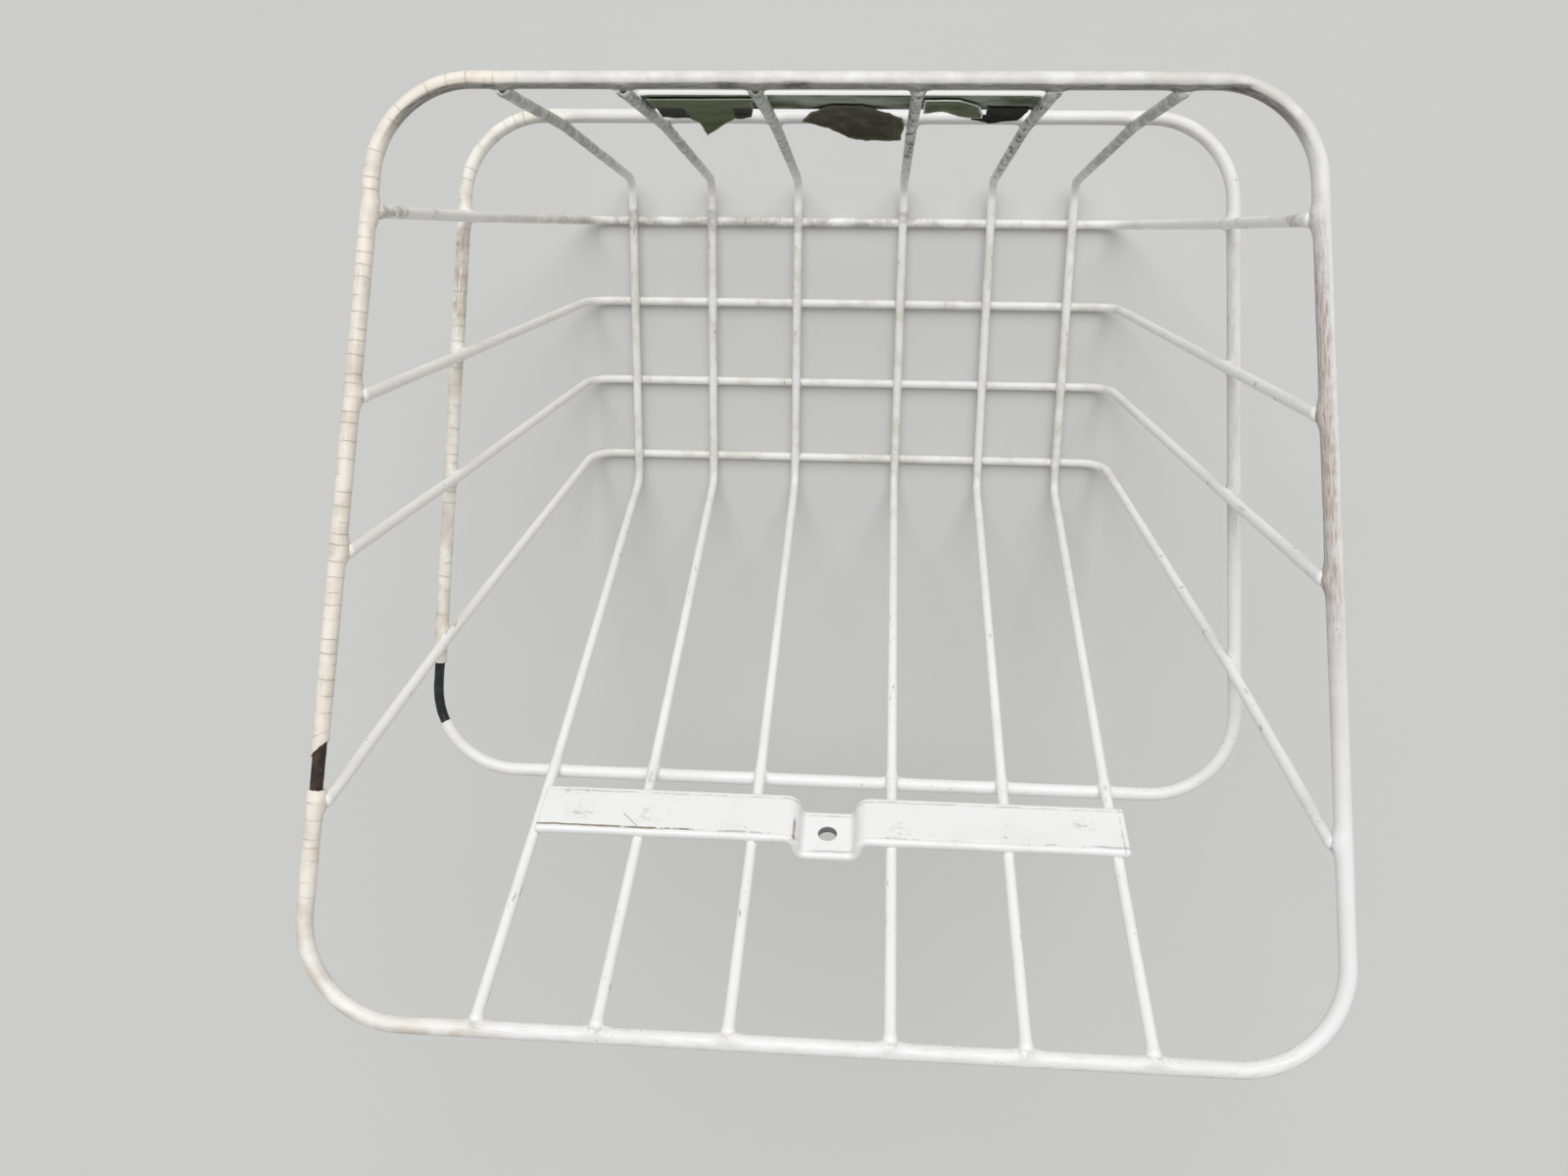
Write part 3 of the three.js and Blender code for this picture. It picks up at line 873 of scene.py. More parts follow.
def linked(name: str, data: bpy.types.ID) -> bpy.types.Object:
    """Adds an object to the scene.

    Args:
        name: The object's name.
        data: What it shows.

    Returns:
        The object.
    """
    made = bpy.data.objects.new(name, data)
    bpy.context.scene.collection.objects.link(made)
    return made


def add_layers(mesh: BMesh, *names: str) -> list[BMLayerItem]:
    """Adds layers of numbers to a mesh's vertices, for the shaders."""
    return [mesh.verts.layers.float.new(name) for name in names]


def mark(vert: BMVert, layers: Sequence[BMLayerItem], values: Sequence[float]) -> None:
    """Stores one number in each layer."""
    for layer, value in zip(layers, values):
        vert[layer] = value


def rounded(mesh: BMesh, geom: list, offset: float, segments: int, affect: str = "EDGES") -> None:
    """Rounds edges or corners.

    Args:
        mesh: The mesh.
        geom: The edges or corners.
        offset: Width of the rounding.
        segments: Number of its steps.
        affect: What is rounded: EDGES or VERTICES.
    """
    bmesh.ops.bevel(
        mesh, geom=geom, offset=offset, segments=segments, profile=0.5, affect=affect, material=-1,
    )


def slice_up(mesh: BMesh, part: int, pitch: float, least: int = 1) -> None:
    """Cuts a mesh into even slices along one axis.

    Args:
        mesh: The mesh.
        part: The axis, from 0 to 2.
        pitch: About how thick a slice is.
        least: The least number of slices.
    """
    values = [vert.co[part] for vert in mesh.verts]
    low, high = min(values), max(values)
    count = max(least, round((high - low) / pitch))
    normal = Vector.Fill(3)
    normal[part] = 1.0
    for index in range(1, count):
        cut = normal * (low + (high - low) * index / count)
        geom = [*mesh.verts, *mesh.edges, *mesh.faces]
        bmesh.ops.bisect_plane(mesh, geom=geom, dist=TINY, plane_co=cut, plane_no=normal)


def carry_section(mesh: BMesh, geom: list, run: Run, steps: int) -> list:
    """Carries an open section along one run.

    Args:
        mesh: The mesh that holds it.
        geom: Vertices and edges of the section.
        run: Where it goes.
        steps: Number of new sections.

    Returns:
        Vertices and edges of the last section.
    """
    turn = run.length / run.radius if run.radius else 0.0
    shift = Vector() if run.radius else run.heading * (run.length / steps)
    spun = bmesh.ops.spin(
        mesh, geom=geom, cent=run.centre, axis=run.axis, dvec=shift, angle=turn, steps=steps,
        use_merge=False, use_duplicate=False,
    )
    return spun["geom_last"]


def end_edges(mesh: BMesh, ring: Sequence[BMVert]) -> list[BMEdge]:
    """Edges of an open end."""
    inside = set(ring)
    return [edge for edge in mesh.edges if edge.is_boundary and inside.issuperset(edge.verts)]


def deliver(
    mesh: BMesh, name: str, node: str, finish: Finish, crease: float = 50.0
) -> None:
    """Turns a finished bmesh into a dressed piece of the basket, kept within the CAD box.

    Args:
        mesh: The piece's mesh, freed here.
        name: The piece's name.
        node: The CAD node that it stands for.
        finish: What it is dressed in.
        crease: Edges sharper than this many degrees stay sharp.
    """
    bmesh.ops.remove_doubles(mesh, verts=mesh.verts[:], dist=MERGE)
    bmesh.ops.recalc_face_normals(mesh, faces=mesh.faces[:])
    low, high = CAD_BOX
    for vert in mesh.verts:
        vert.co = Vector(map(min, map(max, vert.co, low), high))
    for face in mesh.faces:
        face.smooth = True
    data = poured(mesh, name)
    data.set_sharp_from_angle(angle=math.radians(crease))
    data.materials.append(finish.material())
    piece = linked(name, data)
    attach(piece, BODY)
    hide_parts(node)
    LOG.info("%s stands for %s, %d faces", name, node, len(data.polygons))


# Swept wire


@dataclass
class Station:
    """One ring of a swept wire."""

    place: Vector
    heading: Vector
    along: float


@dataclass
class Sweep:
    """A round section carried along a centre line, then shaped ring by ring."""

    runs: list[Run]
    radius: float
    sides: int
    pitch: float = 0.0011
    least: int = 6
    batch: int = 32

    def carry(self) -> tuple[BMesh, list[Station]]:
        """Sweeps the plain section in short lengths, whose shared rings are merged on delivery.

        Returns:
            The open tube, whose vertices lie in rings of the section's count, and its stations.
        """
        mesh = bmesh.new()
        stations: list[Station] = []
        stand = self.runs[0].heading.to_track_quat("Z", "Y").to_matrix()
        passed = 0.0
        for run in self.runs:
            steps = max(self.least, math.ceil(run.length / self.pitch))
            lengths = math.ceil(steps / self.batch)
            steps = math.ceil(steps / lengths)
            for index in range(lengths):
                piece = run.cut(run.length * index / lengths, run.length * (index + 1) / lengths)
                self.add_length(mesh, piece, stand, steps)
                for step in range(steps + 1):
                    distance = piece.length * step / steps
                    stations.append(Station(*piece.at(distance), passed + distance))
                if piece.radius:
                    stand = Matrix.Rotation(piece.length / piece.radius, 3, piece.axis) @ stand
                passed += piece.length
        return mesh, stations

    def add_length(self, mesh: BMesh, run: Run, stand: Matrix, steps: int) -> None:
        """Sweeps one length and adds it to the wire.

        Args:
            mesh: The wire so far.
            run: The length's centre line.
            stand: The section's attitude at its start.
            steps: Number of rings after the first.
        """
        length = bmesh.new()
        place = Matrix.Translation(run.start) @ stand.to_4x4()
        bmesh.ops.create_circle(length, segments=self.sides, radius=self.radius, matrix=place)
        carry_section(length, [*length.verts, *length.edges], run, steps)
        data = poured(length, "length")
        mesh.from_mesh(data)
        bpy.data.meshes.remove(data)

    def rings(self, mesh: BMesh) -> list[list[BMVert]]:
        """The tube's vertices, ring by ring."""
        verts = mesh.verts[:]
        return [verts[start:start + self.sides] for start in range(0, len(verts), self.sides)]


# Hoops


@dataclass(frozen=True)
class Crossing:
    """Where a wire passes a hoop, and the hoop's direction there."""

    place: Vector
    tangent: Vector


@dataclass(frozen=True)
class BareStretch:
    """Where a hoop's coating has broken off, from the rearmost cross wire on the left rearwards."""

    reference_y: float
    start: float
    length: float
    cover: float
    slant: float
    tuck: float = 0.004
    jag: float = 0.0003
    tear_reach: float = 0.006


@dataclass
class Hoop:
    """A closed, rounded trapezoid of thick wire with one bare stretch."""

    name: str
    rear_width: float
    front_width: float
    rear_y: float
    front_y: float
    rear_height: float
    front_height: float
    corner: float
    radius: float
    core_radius: float
    bare: BareStretch
    gather: float
    dirt: float
    coat: Coating
    steel: BareSteel
    steel_slot: Slot
    sides: int = 24
    lip: float = 0.9

    def corners(self) -> list[Vector]:
        """Places the corners in the CAD frame.

        Returns:
            The corners in order: rear left, rear right, front right, front left.
        """
        rear, front = self.rear_width / 2, self.front_width / 2
        places = [
            (-rear, self.rear_y, self.rear_height), (rear, self.rear_y, self.rear_height),
            (front, self.front_y, self.front_height), (-front, self.front_y, self.front_height),
        ]
        return [Vector(place) + SHIFT for place in places]

    @property
    def middle(self) -> Vector:
        """Half way between two opposite corners."""
        return (self.corners()[0] + self.corners()[2]) / 2

    def side(self, wall: Wall) -> tuple[Vector, Vector]:
        """The two corners of one side."""
        corners = self.corners()
        return corners[wall.value], corners[(wall.value + 1) % len(corners)]

    def crossing(self, wall: Wall, value: float) -> Crossing:
        """Where the hoop passes a value.

        Args:
            wall: The side.
            value: The drawing's x on the front and rear, or its y on the left and right.

        Returns:
            The place and the hoop's direction there.
        """
        first, last = self.side(wall)
        part = 0 if wall in (Wall.FRONT, Wall.REAR) else 1
        wanted = value + SHIFT[part]
        share = (wanted - first[part]) / (last[part] - first[part])
        return Crossing(first.lerp(last, share), (last - first).normalized())

    def rod(self, wall: Wall) -> Rod:
        """One side as a neighbour of the wires that lap it."""
        return Rod(*self.side(wall), self.radius, self.gather, self.dirt)

    def build(self, legs: Sequence[Rod]) -> None:
        """Makes the coat and the bare core.

        Args:
            legs: The wires that lap this hoop.
        """
        start = self.crossing(Wall.LEFT, self.bare.reference_y).place
        lap = bent([start, *self.corners(), start], [self.corner] * 4)
        total = length_of(lap)
        bare_start = self.bare.start % total
        bare_end = bare_start + self.bare.length
        coat_start = bare_end % total
        twice = [*lap, *lap]
        self.build_coat(split(twice, [coat_start, coat_start + total - self.bare.length]), legs)
        self.build_core(split(twice, [bare_start - self.bare.tuck, bare_end + self.bare.tuck]))

    def build_coat(self, runs: list[Run], legs: Sequence[Rod]) -> None:
        """Sweeps, webs and tears the coat.

        Args:
            runs: The coat's centre line.
            legs: The wires that lap this hoop.
        """
        total = length_of(runs)
        tear = self.bare.tear_reach
        sweep = Sweep(split(runs, [0.0, tear, total - tear, total]), self.radius, self.sides, least=10)
        mesh, stations = sweep.carry()
        layers = add_layers(mesh, "along", "weld", "inward")
        rings = sweep.rings(mesh)
        reach = 2 * self.radius + self.gather
        for ring, station in zip(rings, stations):
            near = [leg for leg in legs if leg.gap(station.place) < reach]
            lumps = WEB_LUMPS if near else HOOP_LUMPS
            torn_in = max(0.0, 1 - min(station.along, total - station.along) / tear)
            inwards = (self.middle - station.place) * Vector((1.0, 1.0, 0.0))
            inwards.z = -inwards.length
            inwards.normalize()
            for vert in ring:
                spoke = (vert.co - station.place).normalized()
                proud, close = gathered(vert.co, near)
                proud += lumps.at(vert.co)
                vert.co += spoke * proud
                vert.co += station.heading * self.torn(spoke, station.along < total / 2) * torn_in
                mark(vert, layers, (station.along, close, spoke.dot(inwards)))
        for ring in (rings[0], rings[-1]):
            self.close_end(mesh, ring)
        deliver(mesh, f"{self.name}_coat", self.name, self.coat)

    def torn(self, spoke: Vector, rearmost: bool) -> float:
        """How far the torn edge lies along the wire from the coat's plain end.

        Args:
            spoke: Direction from the wire's centre line.
            rearmost: Whether it is the end behind the bare stretch.

        Returns:
            The distance.
        """
        ragged = self.bare.jag * (noise.noise(spoke * 2.6) + 0.5 * noise.noise(spoke * 7.0))
        if rearmost:
            return ragged
        return self.bare.cover - self.bare.slant * (1 + spoke.x) + ragged

    def close_end(self, mesh: BMesh, ring: list) -> None:
        """Turns an open end inwards, past the core's surface, and closes it.

        Args:
            mesh: The coat's mesh.
            ring: Vertices of the open end.
        """
        lip = bmesh.ops.extrude_edge_only(mesh, edges=end_edges(mesh, ring))["geom"]
        verts = [item for item in lip if isinstance(item, BMVert)]
        centre = sum((vert.co for vert in verts), Vector()) / len(verts)
        scale = Matrix.Scale(self.core_radius * self.lip / self.radius, 4)
        bmesh.ops.transform(mesh, matrix=scale, space=Matrix.Translation(-centre), verts=verts)
        edges = [item for item in lip if isinstance(item, BMEdge) and item.is_boundary]
        bmesh.ops.contextual_create(mesh, geom=edges)

    def build_core(self, runs: list[Run]) -> None:
        """Sweeps the bare steel, pitted and closed at both ends.

        Args:
            runs: The core's centre line.
        """
        sweep = Sweep(runs, self.core_radius, self.sides, pitch=0.0008)
        mesh, stations = sweep.carry()
        rings = sweep.rings(mesh)
        for ring, station in zip(rings, stations):
            for vert in ring:
                vert.co += (vert.co - station.place).normalized() * STEEL_PITS.at(vert.co)
        for ring in (rings[0], rings[-1]):
            bmesh.ops.contextual_create(mesh, geom=end_edges(mesh, ring))
        deliver(mesh, f"{self.name}_steel", f"{self.name}_bare_core", self.steel)


# Wires


class Foot(Enum):
    """How a wire ends on the rim: covered by the coat, domed beside it, or domed with a dimple."""

    COVERED = (0.0003, 0.0042, 0.0020, 0.10, 0.00010)
    DOMED = (0.0012, 0.0028, 0.0013, 0.34, 0.00012)
    DIMPLED = (0.0012, 0.0028, 0.0009, 0.62, -0.0009)

    def __init__(self, above_rim: float, gather: float, dome: float, tip_share: float, crown: float) -> None:
        """Keeps the sizes of one kind of foot.

        Args:
            above_rim: Where the tip lies, above the rim's centre line.
            gather: Width of the coat's web.
            dome: Length of the rounding.
            tip_share: Share of the radius that is left at the tip.
            crown: How far the tip's middle stands out, or in where it is negative.
        """
        self.above_rim = above_rim
        self.gather = gather
        self.dome = dome
        self.tip_share = tip_share
        self.crown = crown


@dataclass(frozen=True)
class Leg:
    """One wall leg of a wire, from its foot on the rim to its corner at the floor."""

    rim_seat: Vector
    ring_seat: Vector
    floor_corner: Vector
    climb: Vector
    foot: Foot
    tip_round: float = 0.6

    @property
    def tip(self) -> Vector:
        """Where the wire ends, beside the rim."""
        return self.rim_seat + self.climb * self.foot.above_rim

    def upper(self, radius: float, dirt: float) -> Rod:
        """The leg's upper part as a neighbour of the rim, short of its rounded tip."""
        end = self.tip - self.climb * radius * self.tip_round
        return Rod(self.ring_seat, end, radius, self.foot.gather, dirt)

    def rods(self, radius: float, gather: float, dirt: float) -> list[Rod]:
        """The leg as neighbours of the ring."""
        ends = ((self.ring_seat, self.tip), (self.floor_corner, self.ring_seat))
        return [Rod(start, end, radius, gather, dirt) for start, end in ends]


@dataclass
class Wire:
    """One bent wire with two feet on the rim."""

    name: str
    first: Leg
    last: Leg
    radius: float
    floor_bend: float
    coat: Coating
    kink: float = 0.040
    sides: int = 16
    tip_end: float = 0.0019
    foot_end: float = 0.011
    cap_insets: tuple[float, float] = (0.3, 0.15)

    def floor_rod(self, gather: float) -> Rod:
        """The floor stretch as a neighbour."""
        return Rod(self.first.floor_corner, self.last.floor_corner, self.radius, gather)

    def build(self, near: Sequence[Neighbour]) -> None:
        """Sweeps the wire, gathers its coat at the joints and rounds its tips.

        Args:
            near: Everything that it touches.
        """
        corners = [
            self.first.tip, self.first.ring_seat, self.first.floor_corner,
            self.last.floor_corner, self.last.ring_seat, self.last.tip,
        ]
        whole = bent(corners, [self.kink, self.floor_bend, self.floor_bend, self.kink])
        total = length_of(whole)
        cuts = [0.0, self.tip_end, self.foot_end, total - self.foot_end, total - self.tip_end, total]
        sweep = Sweep(split(whole, cuts), self.radius, self.sides, least=8)
        mesh, stations = sweep.carry()
        *layers, pit = add_layers(mesh, "along", "weld", "inward", "pit")
        rings = sweep.rings(mesh)
        for ring, station in zip(rings, stations):
            self.shape_ring(ring, station, total, near, layers)
        self.close_tip(mesh, rings[0], self.first, pit)
        self.close_tip(mesh, rings[-1], self.last, pit)
        deliver(mesh, f"{self.name}_coat", self.name, self.coat)

    def shape_ring(
        self, ring: list, station: Station, total: float, near: Sequence[Neighbour], layers: list
    ) -> None:
        """Moves one ring's vertices to the coat's surface.

        Args:
            ring: The ring's vertices.
            station: Its place on the centre line.
            total: The wire's length.
            near: What the wire touches.
            layers: Vertex layers of the place along the wire, the weld and the inward side.
        """
        close_by = [other for other in near if other.gap(station.place) < 2 * self.radius + other.gather]
        foot = (self.first if station.along < total / 2 else self.last).foot
        from_end = min(station.along, total - station.along)
        rounding = math.sqrt(max(0.0, 1 - (1 - min(1.0, from_end / foot.dome)) ** 2))
        share = foot.tip_share + (1 - foot.tip_share) * rounding
        inwards = Vector((-station.place.x, -station.place.y, 0.0)).normalized()
        for vert in ring:
            spoke = (vert.co - station.place).normalized()
            proud, close = gathered(vert.co, close_by)
            vert.co = station.place + spoke * (self.radius + proud + WIRE_LUMPS.at(vert.co)) * share
            mark(vert, layers, (station.along, close, spoke.dot(inwards)))

    def close_tip(self, mesh: BMesh, ring: list, leg: Leg, pit: BMLayerItem) -> None:
        """Closes a tip with a small crown, or with the dimple that the coating left.

        Args:
            mesh: The wire's mesh.
            ring: The open end.
            leg: The leg that it ends.
            pit: Vertex layer of the dimple.
        """
        foot = leg.foot
        cap = bmesh.ops.contextual_create(mesh, geom=end_edges(mesh, ring))["faces"][0]
        for inset in self.cap_insets:
            width = self.radius * foot.tip_share * inset
            bmesh.ops.inset_individual(mesh, faces=[cap], thickness=width, depth=0.0)
        bmesh.ops.translate(mesh, verts=cap.verts[:], vec=leg.climb * foot.crown)
        # Pit marks the dimpled tips, which the coating paints near black as shade and dirt.
        for vert in cap.verts:
            vert[pit] = 1.0 if foot is Foot.DIMPLED else 0.0


# Flat bars and film


def wall_frame(leg: Leg) -> Matrix:
    """A wall's own frame, seen from the CAD frame.

    Args:
        leg: One of the wall's legs.

    Returns:
        X across, Y forwards through the wall and Z up along its wires, from the ring's seats.
    """
    climb, seat = leg.climb, leg.ring_seat
    axes = (Vector((1.0, 0.0, 0.0)), Vector((0.0, climb.z, -climb.y)), Vector((0.0, climb.y, climb.z)))
    return Matrix.Translation((0.0, seat.y, seat.z)) @ Matrix(axes).transposed().to_4x4()


@dataclass
class FlatBar:
    """A coated flat bar across a wall's wires, in the wall's frame.

    Shown is 1 where the load sees its forward face, and -1 where it sees its rearward one.
    """

    wall: Matrix
    wire_radius: float
    coat: Coating
    left: float
    right: float
    width: float
    thickness: float
    above_ring: float
    sink: float
    edge: float
    shown: float

    @property
    def rearward(self) -> float:
        """The rearward face, forwards of the wires' centre plane."""
        return self.wire_radius - self.sink

    @property
    def level(self) -> float:
        """Middle of the bar's thickness, forwards of the wires' centre plane."""
        return self.rearward + self.thickness / 2

    @property
    def height(self) -> float:
        """Middle of the bar's width, above the ring."""
        return self.above_ring + self.width / 2

    def bar(self, gather: float) -> Bar:
        """Makes the bar a neighbour of the wires.

        Args:
            gather: Width of the coat's web.

        Returns:
            The bar without its step.
        """
        low = Vector((self.left, self.rearward, self.above_ring))
        high = Vector((self.right, self.rearward + self.thickness, self.above_ring + self.width))
        return Bar(self.wall.inverted(), low, high, gather)

    def store(self, mesh: BMesh) -> None:
        """Stores the place along and across the bar, and whether the load sees it.

        Args:
            mesh: The bar's mesh, in the wall's frame.
        """
        layers = add_layers(mesh, "along", "across", "facing", "weld")
        mesh.normal_update()
        for vert in mesh.verts:
            facing = 1.0 if vert.normal.y * self.shown > 0.5 else 0.0
            mark(vert, layers, (vert.co.x, vert.co.z - self.height, facing))

    def set_in(self, mesh: BMesh, node: str, crease: float) -> None:
        """Sets the finished bar in its wall."""
        bmesh.ops.transform(mesh, matrix=self.wall, verts=mesh.verts[:])
        deliver(mesh, f"{node}_bar", node, self.coat, crease)


@dataclass
class RearStrap(FlatBar):
    """Flat bar inside the rear wall, stepped outwards around its bolt hole."""

    left: float = -0.1015
    right: float = 0.1065
    width: float = 0.0215
    thickness: float = 0.0032
    above_ring: float = 0.0147
    sink: float = 0.00075
    edge: float = 0.0013
    shown: float = 1.0
    end_round: float = 0.0008
    step_x: float = 0.0018
    step_depth: float = 0.0082
    step_floor: float = 0.0205
    step_mouth: float = 0.0245
    bend: float = 0.0036
    hole: float = 0.0064
    hole_round: float = 0.0006
    hole_sides: int = 48
    flat_cuts: int = 11
    pitch: float = 0.002
    least_steps: int = 8

    def runs(self) -> list[Run]:
        """Lays out the bar with its step.

        Returns:
            Its centre line in the wall's frame.
        """
        stepped = self.level - self.step_depth
        floor, mouth = self.step_floor / 2, self.step_mouth / 2
        places = [
            (self.left, self.level), (self.step_x - mouth, self.level), (self.step_x - floor, stepped),
            (self.step_x + floor, stepped), (self.step_x + mouth, self.level), (self.right, self.level),
        ]
        return bent([Vector((x, y, self.height)) for x, y in places], [self.bend] * 4)

    def build(self) -> None:
        """Sweeps the section, rounds the ends, drills the hole and sets the strap in its wall."""
        mesh = bmesh.new()
        bmesh.ops.create_grid(mesh, x_segments=1, y_segments=1, size=0.5)
        turn = Matrix(((0.0, 0.0, 1.0), (1.0, 0.0, 0.0), (0.0, 1.0, 0.0))).to_4x4()
        place = Matrix.Translation((self.left, self.level, self.height))
        size = Matrix.Diagonal((1.0, self.thickness, self.width, 1.0))
        bmesh.ops.transform(mesh, matrix=place @ size @ turn, verts=mesh.verts[:])
        rounded(mesh, mesh.verts[:], self.edge, 4, "VERTICES")
        bmesh.ops.delete(mesh, geom=mesh.faces[:], context="FACES_ONLY")
        flats = [edge for edge in mesh.edges if edge.calc_length() > self.width / 2]
        bmesh.ops.subdivide_edges(mesh, edges=flats, cuts=self.flat_cuts)
        first = mesh.edges[:]
        geom = [*mesh.verts, *mesh.edges]
        for run in self.runs():
            geom = carry_section(mesh, geom, run, max(self.least_steps, math.ceil(run.length / self.pitch)))
        last = [item for item in geom if isinstance(item, BMEdge)]
        for edges in (first, last):
            bmesh.ops.contextual_create(mesh, geom=edges)
        rounded(mesh, [*first, *last], self.end_round, 3)
        bmesh.ops.recalc_face_normals(mesh, faces=mesh.faces[:])
        drilled = self.drill(mesh)
        self.store(drilled)
        self.store_bore(drilled)
        self.set_in(drilled, "rear_strap", 60.0)

    def drill_bit(self) -> BMesh:
        """Shapes the bolt hole.

        Returns:
            The hole as a solid with its rounded mouths, at its place in the bar.
        """
        tool = bmesh.new()
        radius, half = self.hole / 2, self.thickness / 2
        mouth = [
            (radius + self.hole_round * (1 - math.sin(angle)), half - self.hole_round * (1 - math.cos(angle)))
            for angle in map(math.radians, (0, 30, 60, 90))
        ]
        upper = [(0.0, 2 * half), (radius + self.hole_round, 2 * half), *mouth]
        profile = [*upper, *[(reach, -depth) for reach, depth in reversed(upper)]]
        verts = [tool.verts.new((reach, 0.0, depth)) for reach, depth in profile]
        for first, last in zip(verts, verts[1:]):
            tool.edges.new((first, last))
        bmesh.ops.spin(
            tool, geom=[*tool.verts, *tool.edges], cent=(0, 0, 0), axis=(0, 0, 1), angle=math.tau,
            steps=self.hole_sides, use_merge=True,
        )
        bmesh.ops.remove_doubles(tool, verts=tool.verts[:], dist=TINY)
        place = Matrix.Translation((self.step_x, self.level - self.step_depth, self.height))
        turn = Matrix.Rotation(math.radians(90), 4, "X")
        bmesh.ops.transform(tool, matrix=place @ turn, verts=tool.verts[:])
        bmesh.ops.recalc_face_normals(tool, faces=tool.faces[:])
        return tool

    def drill(self, mesh: BMesh) -> BMesh:
        """Cuts the bolt hole.

        Args:
            mesh: The whole bar, freed here.

        Returns:
            The bar with its hole.
        """
        blank = linked("strap_blank", poured(mesh, "strap_blank"))
        cutter = linked("strap_drill", poured(self.drill_bit(), "strap_drill"))
        cut = blank.modifiers.new("bolt_hole", "BOOLEAN")
        cut.object = cutter
        cut.operation = "DIFFERENCE"
        cut.solver = "EXACT"
        result = bmesh.new()
        result.from_object(blank, bpy.context.evaluated_depsgraph_get())
        for item in (blank, cutter):
            bpy.data.meshes.remove(item.data)
        return result

    def store_bore(self, mesh: BMesh) -> None:
        """Stores how near each vertex is to the hole, where shade is painted.

        Args:
            mesh: The bar's mesh, in the wall's frame.
        """
        (bore,) = add_layers(mesh, "bore")
        for vert in mesh.verts:
            from_edge = math.hypot(vert.co.x - self.step_x, vert.co.z - self.height) - self.hole / 2
            if from_edge < 2 * self.hole_round:
                vert[bore] = min(1.0, max(0.0, 1 - from_edge / self.hole_round))


@dataclass
class FrontPlate(FlatBar):
    """Thin flat bar outside the front wall."""

    left: float = -0.065
    right: float = 0.065
    width: float = 0.027
    thickness: float = 0.0018
    above_ring: float = 0.0285
    sink: float = 0.0004
    edge: float = 0.0006
    shown: float = -1.0
    corner: float = 0.0015
    pitch: float = 0.0045

    def build(self) -> None:
        """Shapes the plate from a block, cut into columns so that its surface can be dressed."""
        mesh = bmesh.new()
        place = Matrix.Translation((0.0, self.level, self.height))
        size = Matrix.Diagonal((self.right - self.left, self.thickness, self.width, 1.0))
        bmesh.ops.create_cube(mesh, size=1.0, matrix=place @ size)
        through = [edge for edge in mesh.edges if self.depth_of(edge) > self.thickness / 2]
        rounded(mesh, through, self.corner, 4)
        borders = [edge for edge in mesh.edges if self.depth_of(edge) < self.thickness / 100]
        rounded(mesh, borders, self.edge, 3)
        slice_up(mesh, 0, self.pitch)
        self.store(mesh)
        self.set_in(mesh, "front_plate", 50.0)

    @staticmethod
    def depth_of(edge: BMEdge) -> float:
        """How far an edge goes through the plate."""
        return abs((edge.verts[0].co - edge.verts[1].co).y)


@dataclass
class FilmRemnant:
    """A torn piece of film on the plate's inner face, between two wires.

    Its torn edge is a list of shares: across from the gap's middle, of half the clear gap, and up
    from the plate's lower edge, of the plate's width. Curl_height is such a share up the plate too.
    """

    name: str
    gap: tuple[float, float]
    curl_height: float
    curl_radius: float
    edge: Spots
    finish: TornFilm
    thickness: float = 0.0004
    clearance: float = 0.0003
    ragged: float = 0.0004
    edge_cuts: int = 7
    tears: tuple[float, float] = (900.0, 330.0)
    pale_edge: float = 0.0011
    pitch: float = 0.0012
    wave: float = 0.0004
    waves: float = 160.0
    loose_after: float = 0.004

    def build(self, plate: FrontPlate) -> None:
        """Cuts the sheet to its torn edge, rolls it and gives it thickness.

        Args:
            plate: The plate that it hangs on.
        """
        mesh = bmesh.new()
        middle = sum(self.gap) / 2
        half = (self.gap[1] - self.gap[0]) / 2 - plate.wire_radius
        mesh.faces.new([
            mesh.verts.new((middle + across * half, 0.0, plate.above_ring + up * plate.width))
            for across, up in self.edge
        ])
        bmesh.ops.subdivide_edges(mesh, edges=mesh.edges[:], cuts=self.edge_cuts)
        for vert in mesh.verts:
            tear = sum((noise.noise_vector(vert.co * scale) for scale in self.tears), Vector())
            vert.co += Vector((tear.x, 0.0, tear.z)) * self.ragged
        for part in (0, 2):
            slice_up(mesh, part, self.pitch, least=4)
        bmesh.ops.triangulate(mesh, faces=mesh.faces[:])
        (torn,) = add_layers(mesh, "torn")
        # Torn holds how near the torn edge is, for its painted highlight.
        border = [vert.co.copy() for vert in mesh.verts if vert.is_boundary]
        for vert in mesh.verts:
            nearest = min((vert.co - other).length for other in border)
            vert[torn] = max(0.0, 1 - nearest / self.pale_edge)
        for vert in mesh.verts:
            vert.co.y = self.depth_at(plate, vert.co)
        bmesh.ops.recalc_face_normals(mesh, faces=mesh.faces[:])
        bmesh.ops.solidify(mesh, geom=mesh.faces[:], thickness=self.thickness)
        bmesh.ops.transform(mesh, matrix=plate.wall, verts=mesh.verts[:])
        deliver(mesh, f"{self.name}_sheet", self.name, self.finish)

    def depth_at(self, plate: FrontPlate, place: Vector) -> float:
        """Where the sheet lies forwards of the wires' centre plane.

        Args:
            plate: The plate that it hangs on.
            place: A place on the flat sheet.

        Returns:
            The depth, which falls where the sheet curls away from the plate.
        """
        level = plate.rearward - self.clearance - self.thickness
        below = max(0.0, plate.above_ring + self.curl_height * plate.width - place.z)
        below = min(below, self.curl_radius * 0.95)
        roll = self.curl_radius - math.sqrt(self.curl_radius**2 - below**2)
        loose = min(1.0, below / self.loose_after)
        return level - roll - loose * self.wave * (1 + noise.noise(place * self.waves))


# The whole basket


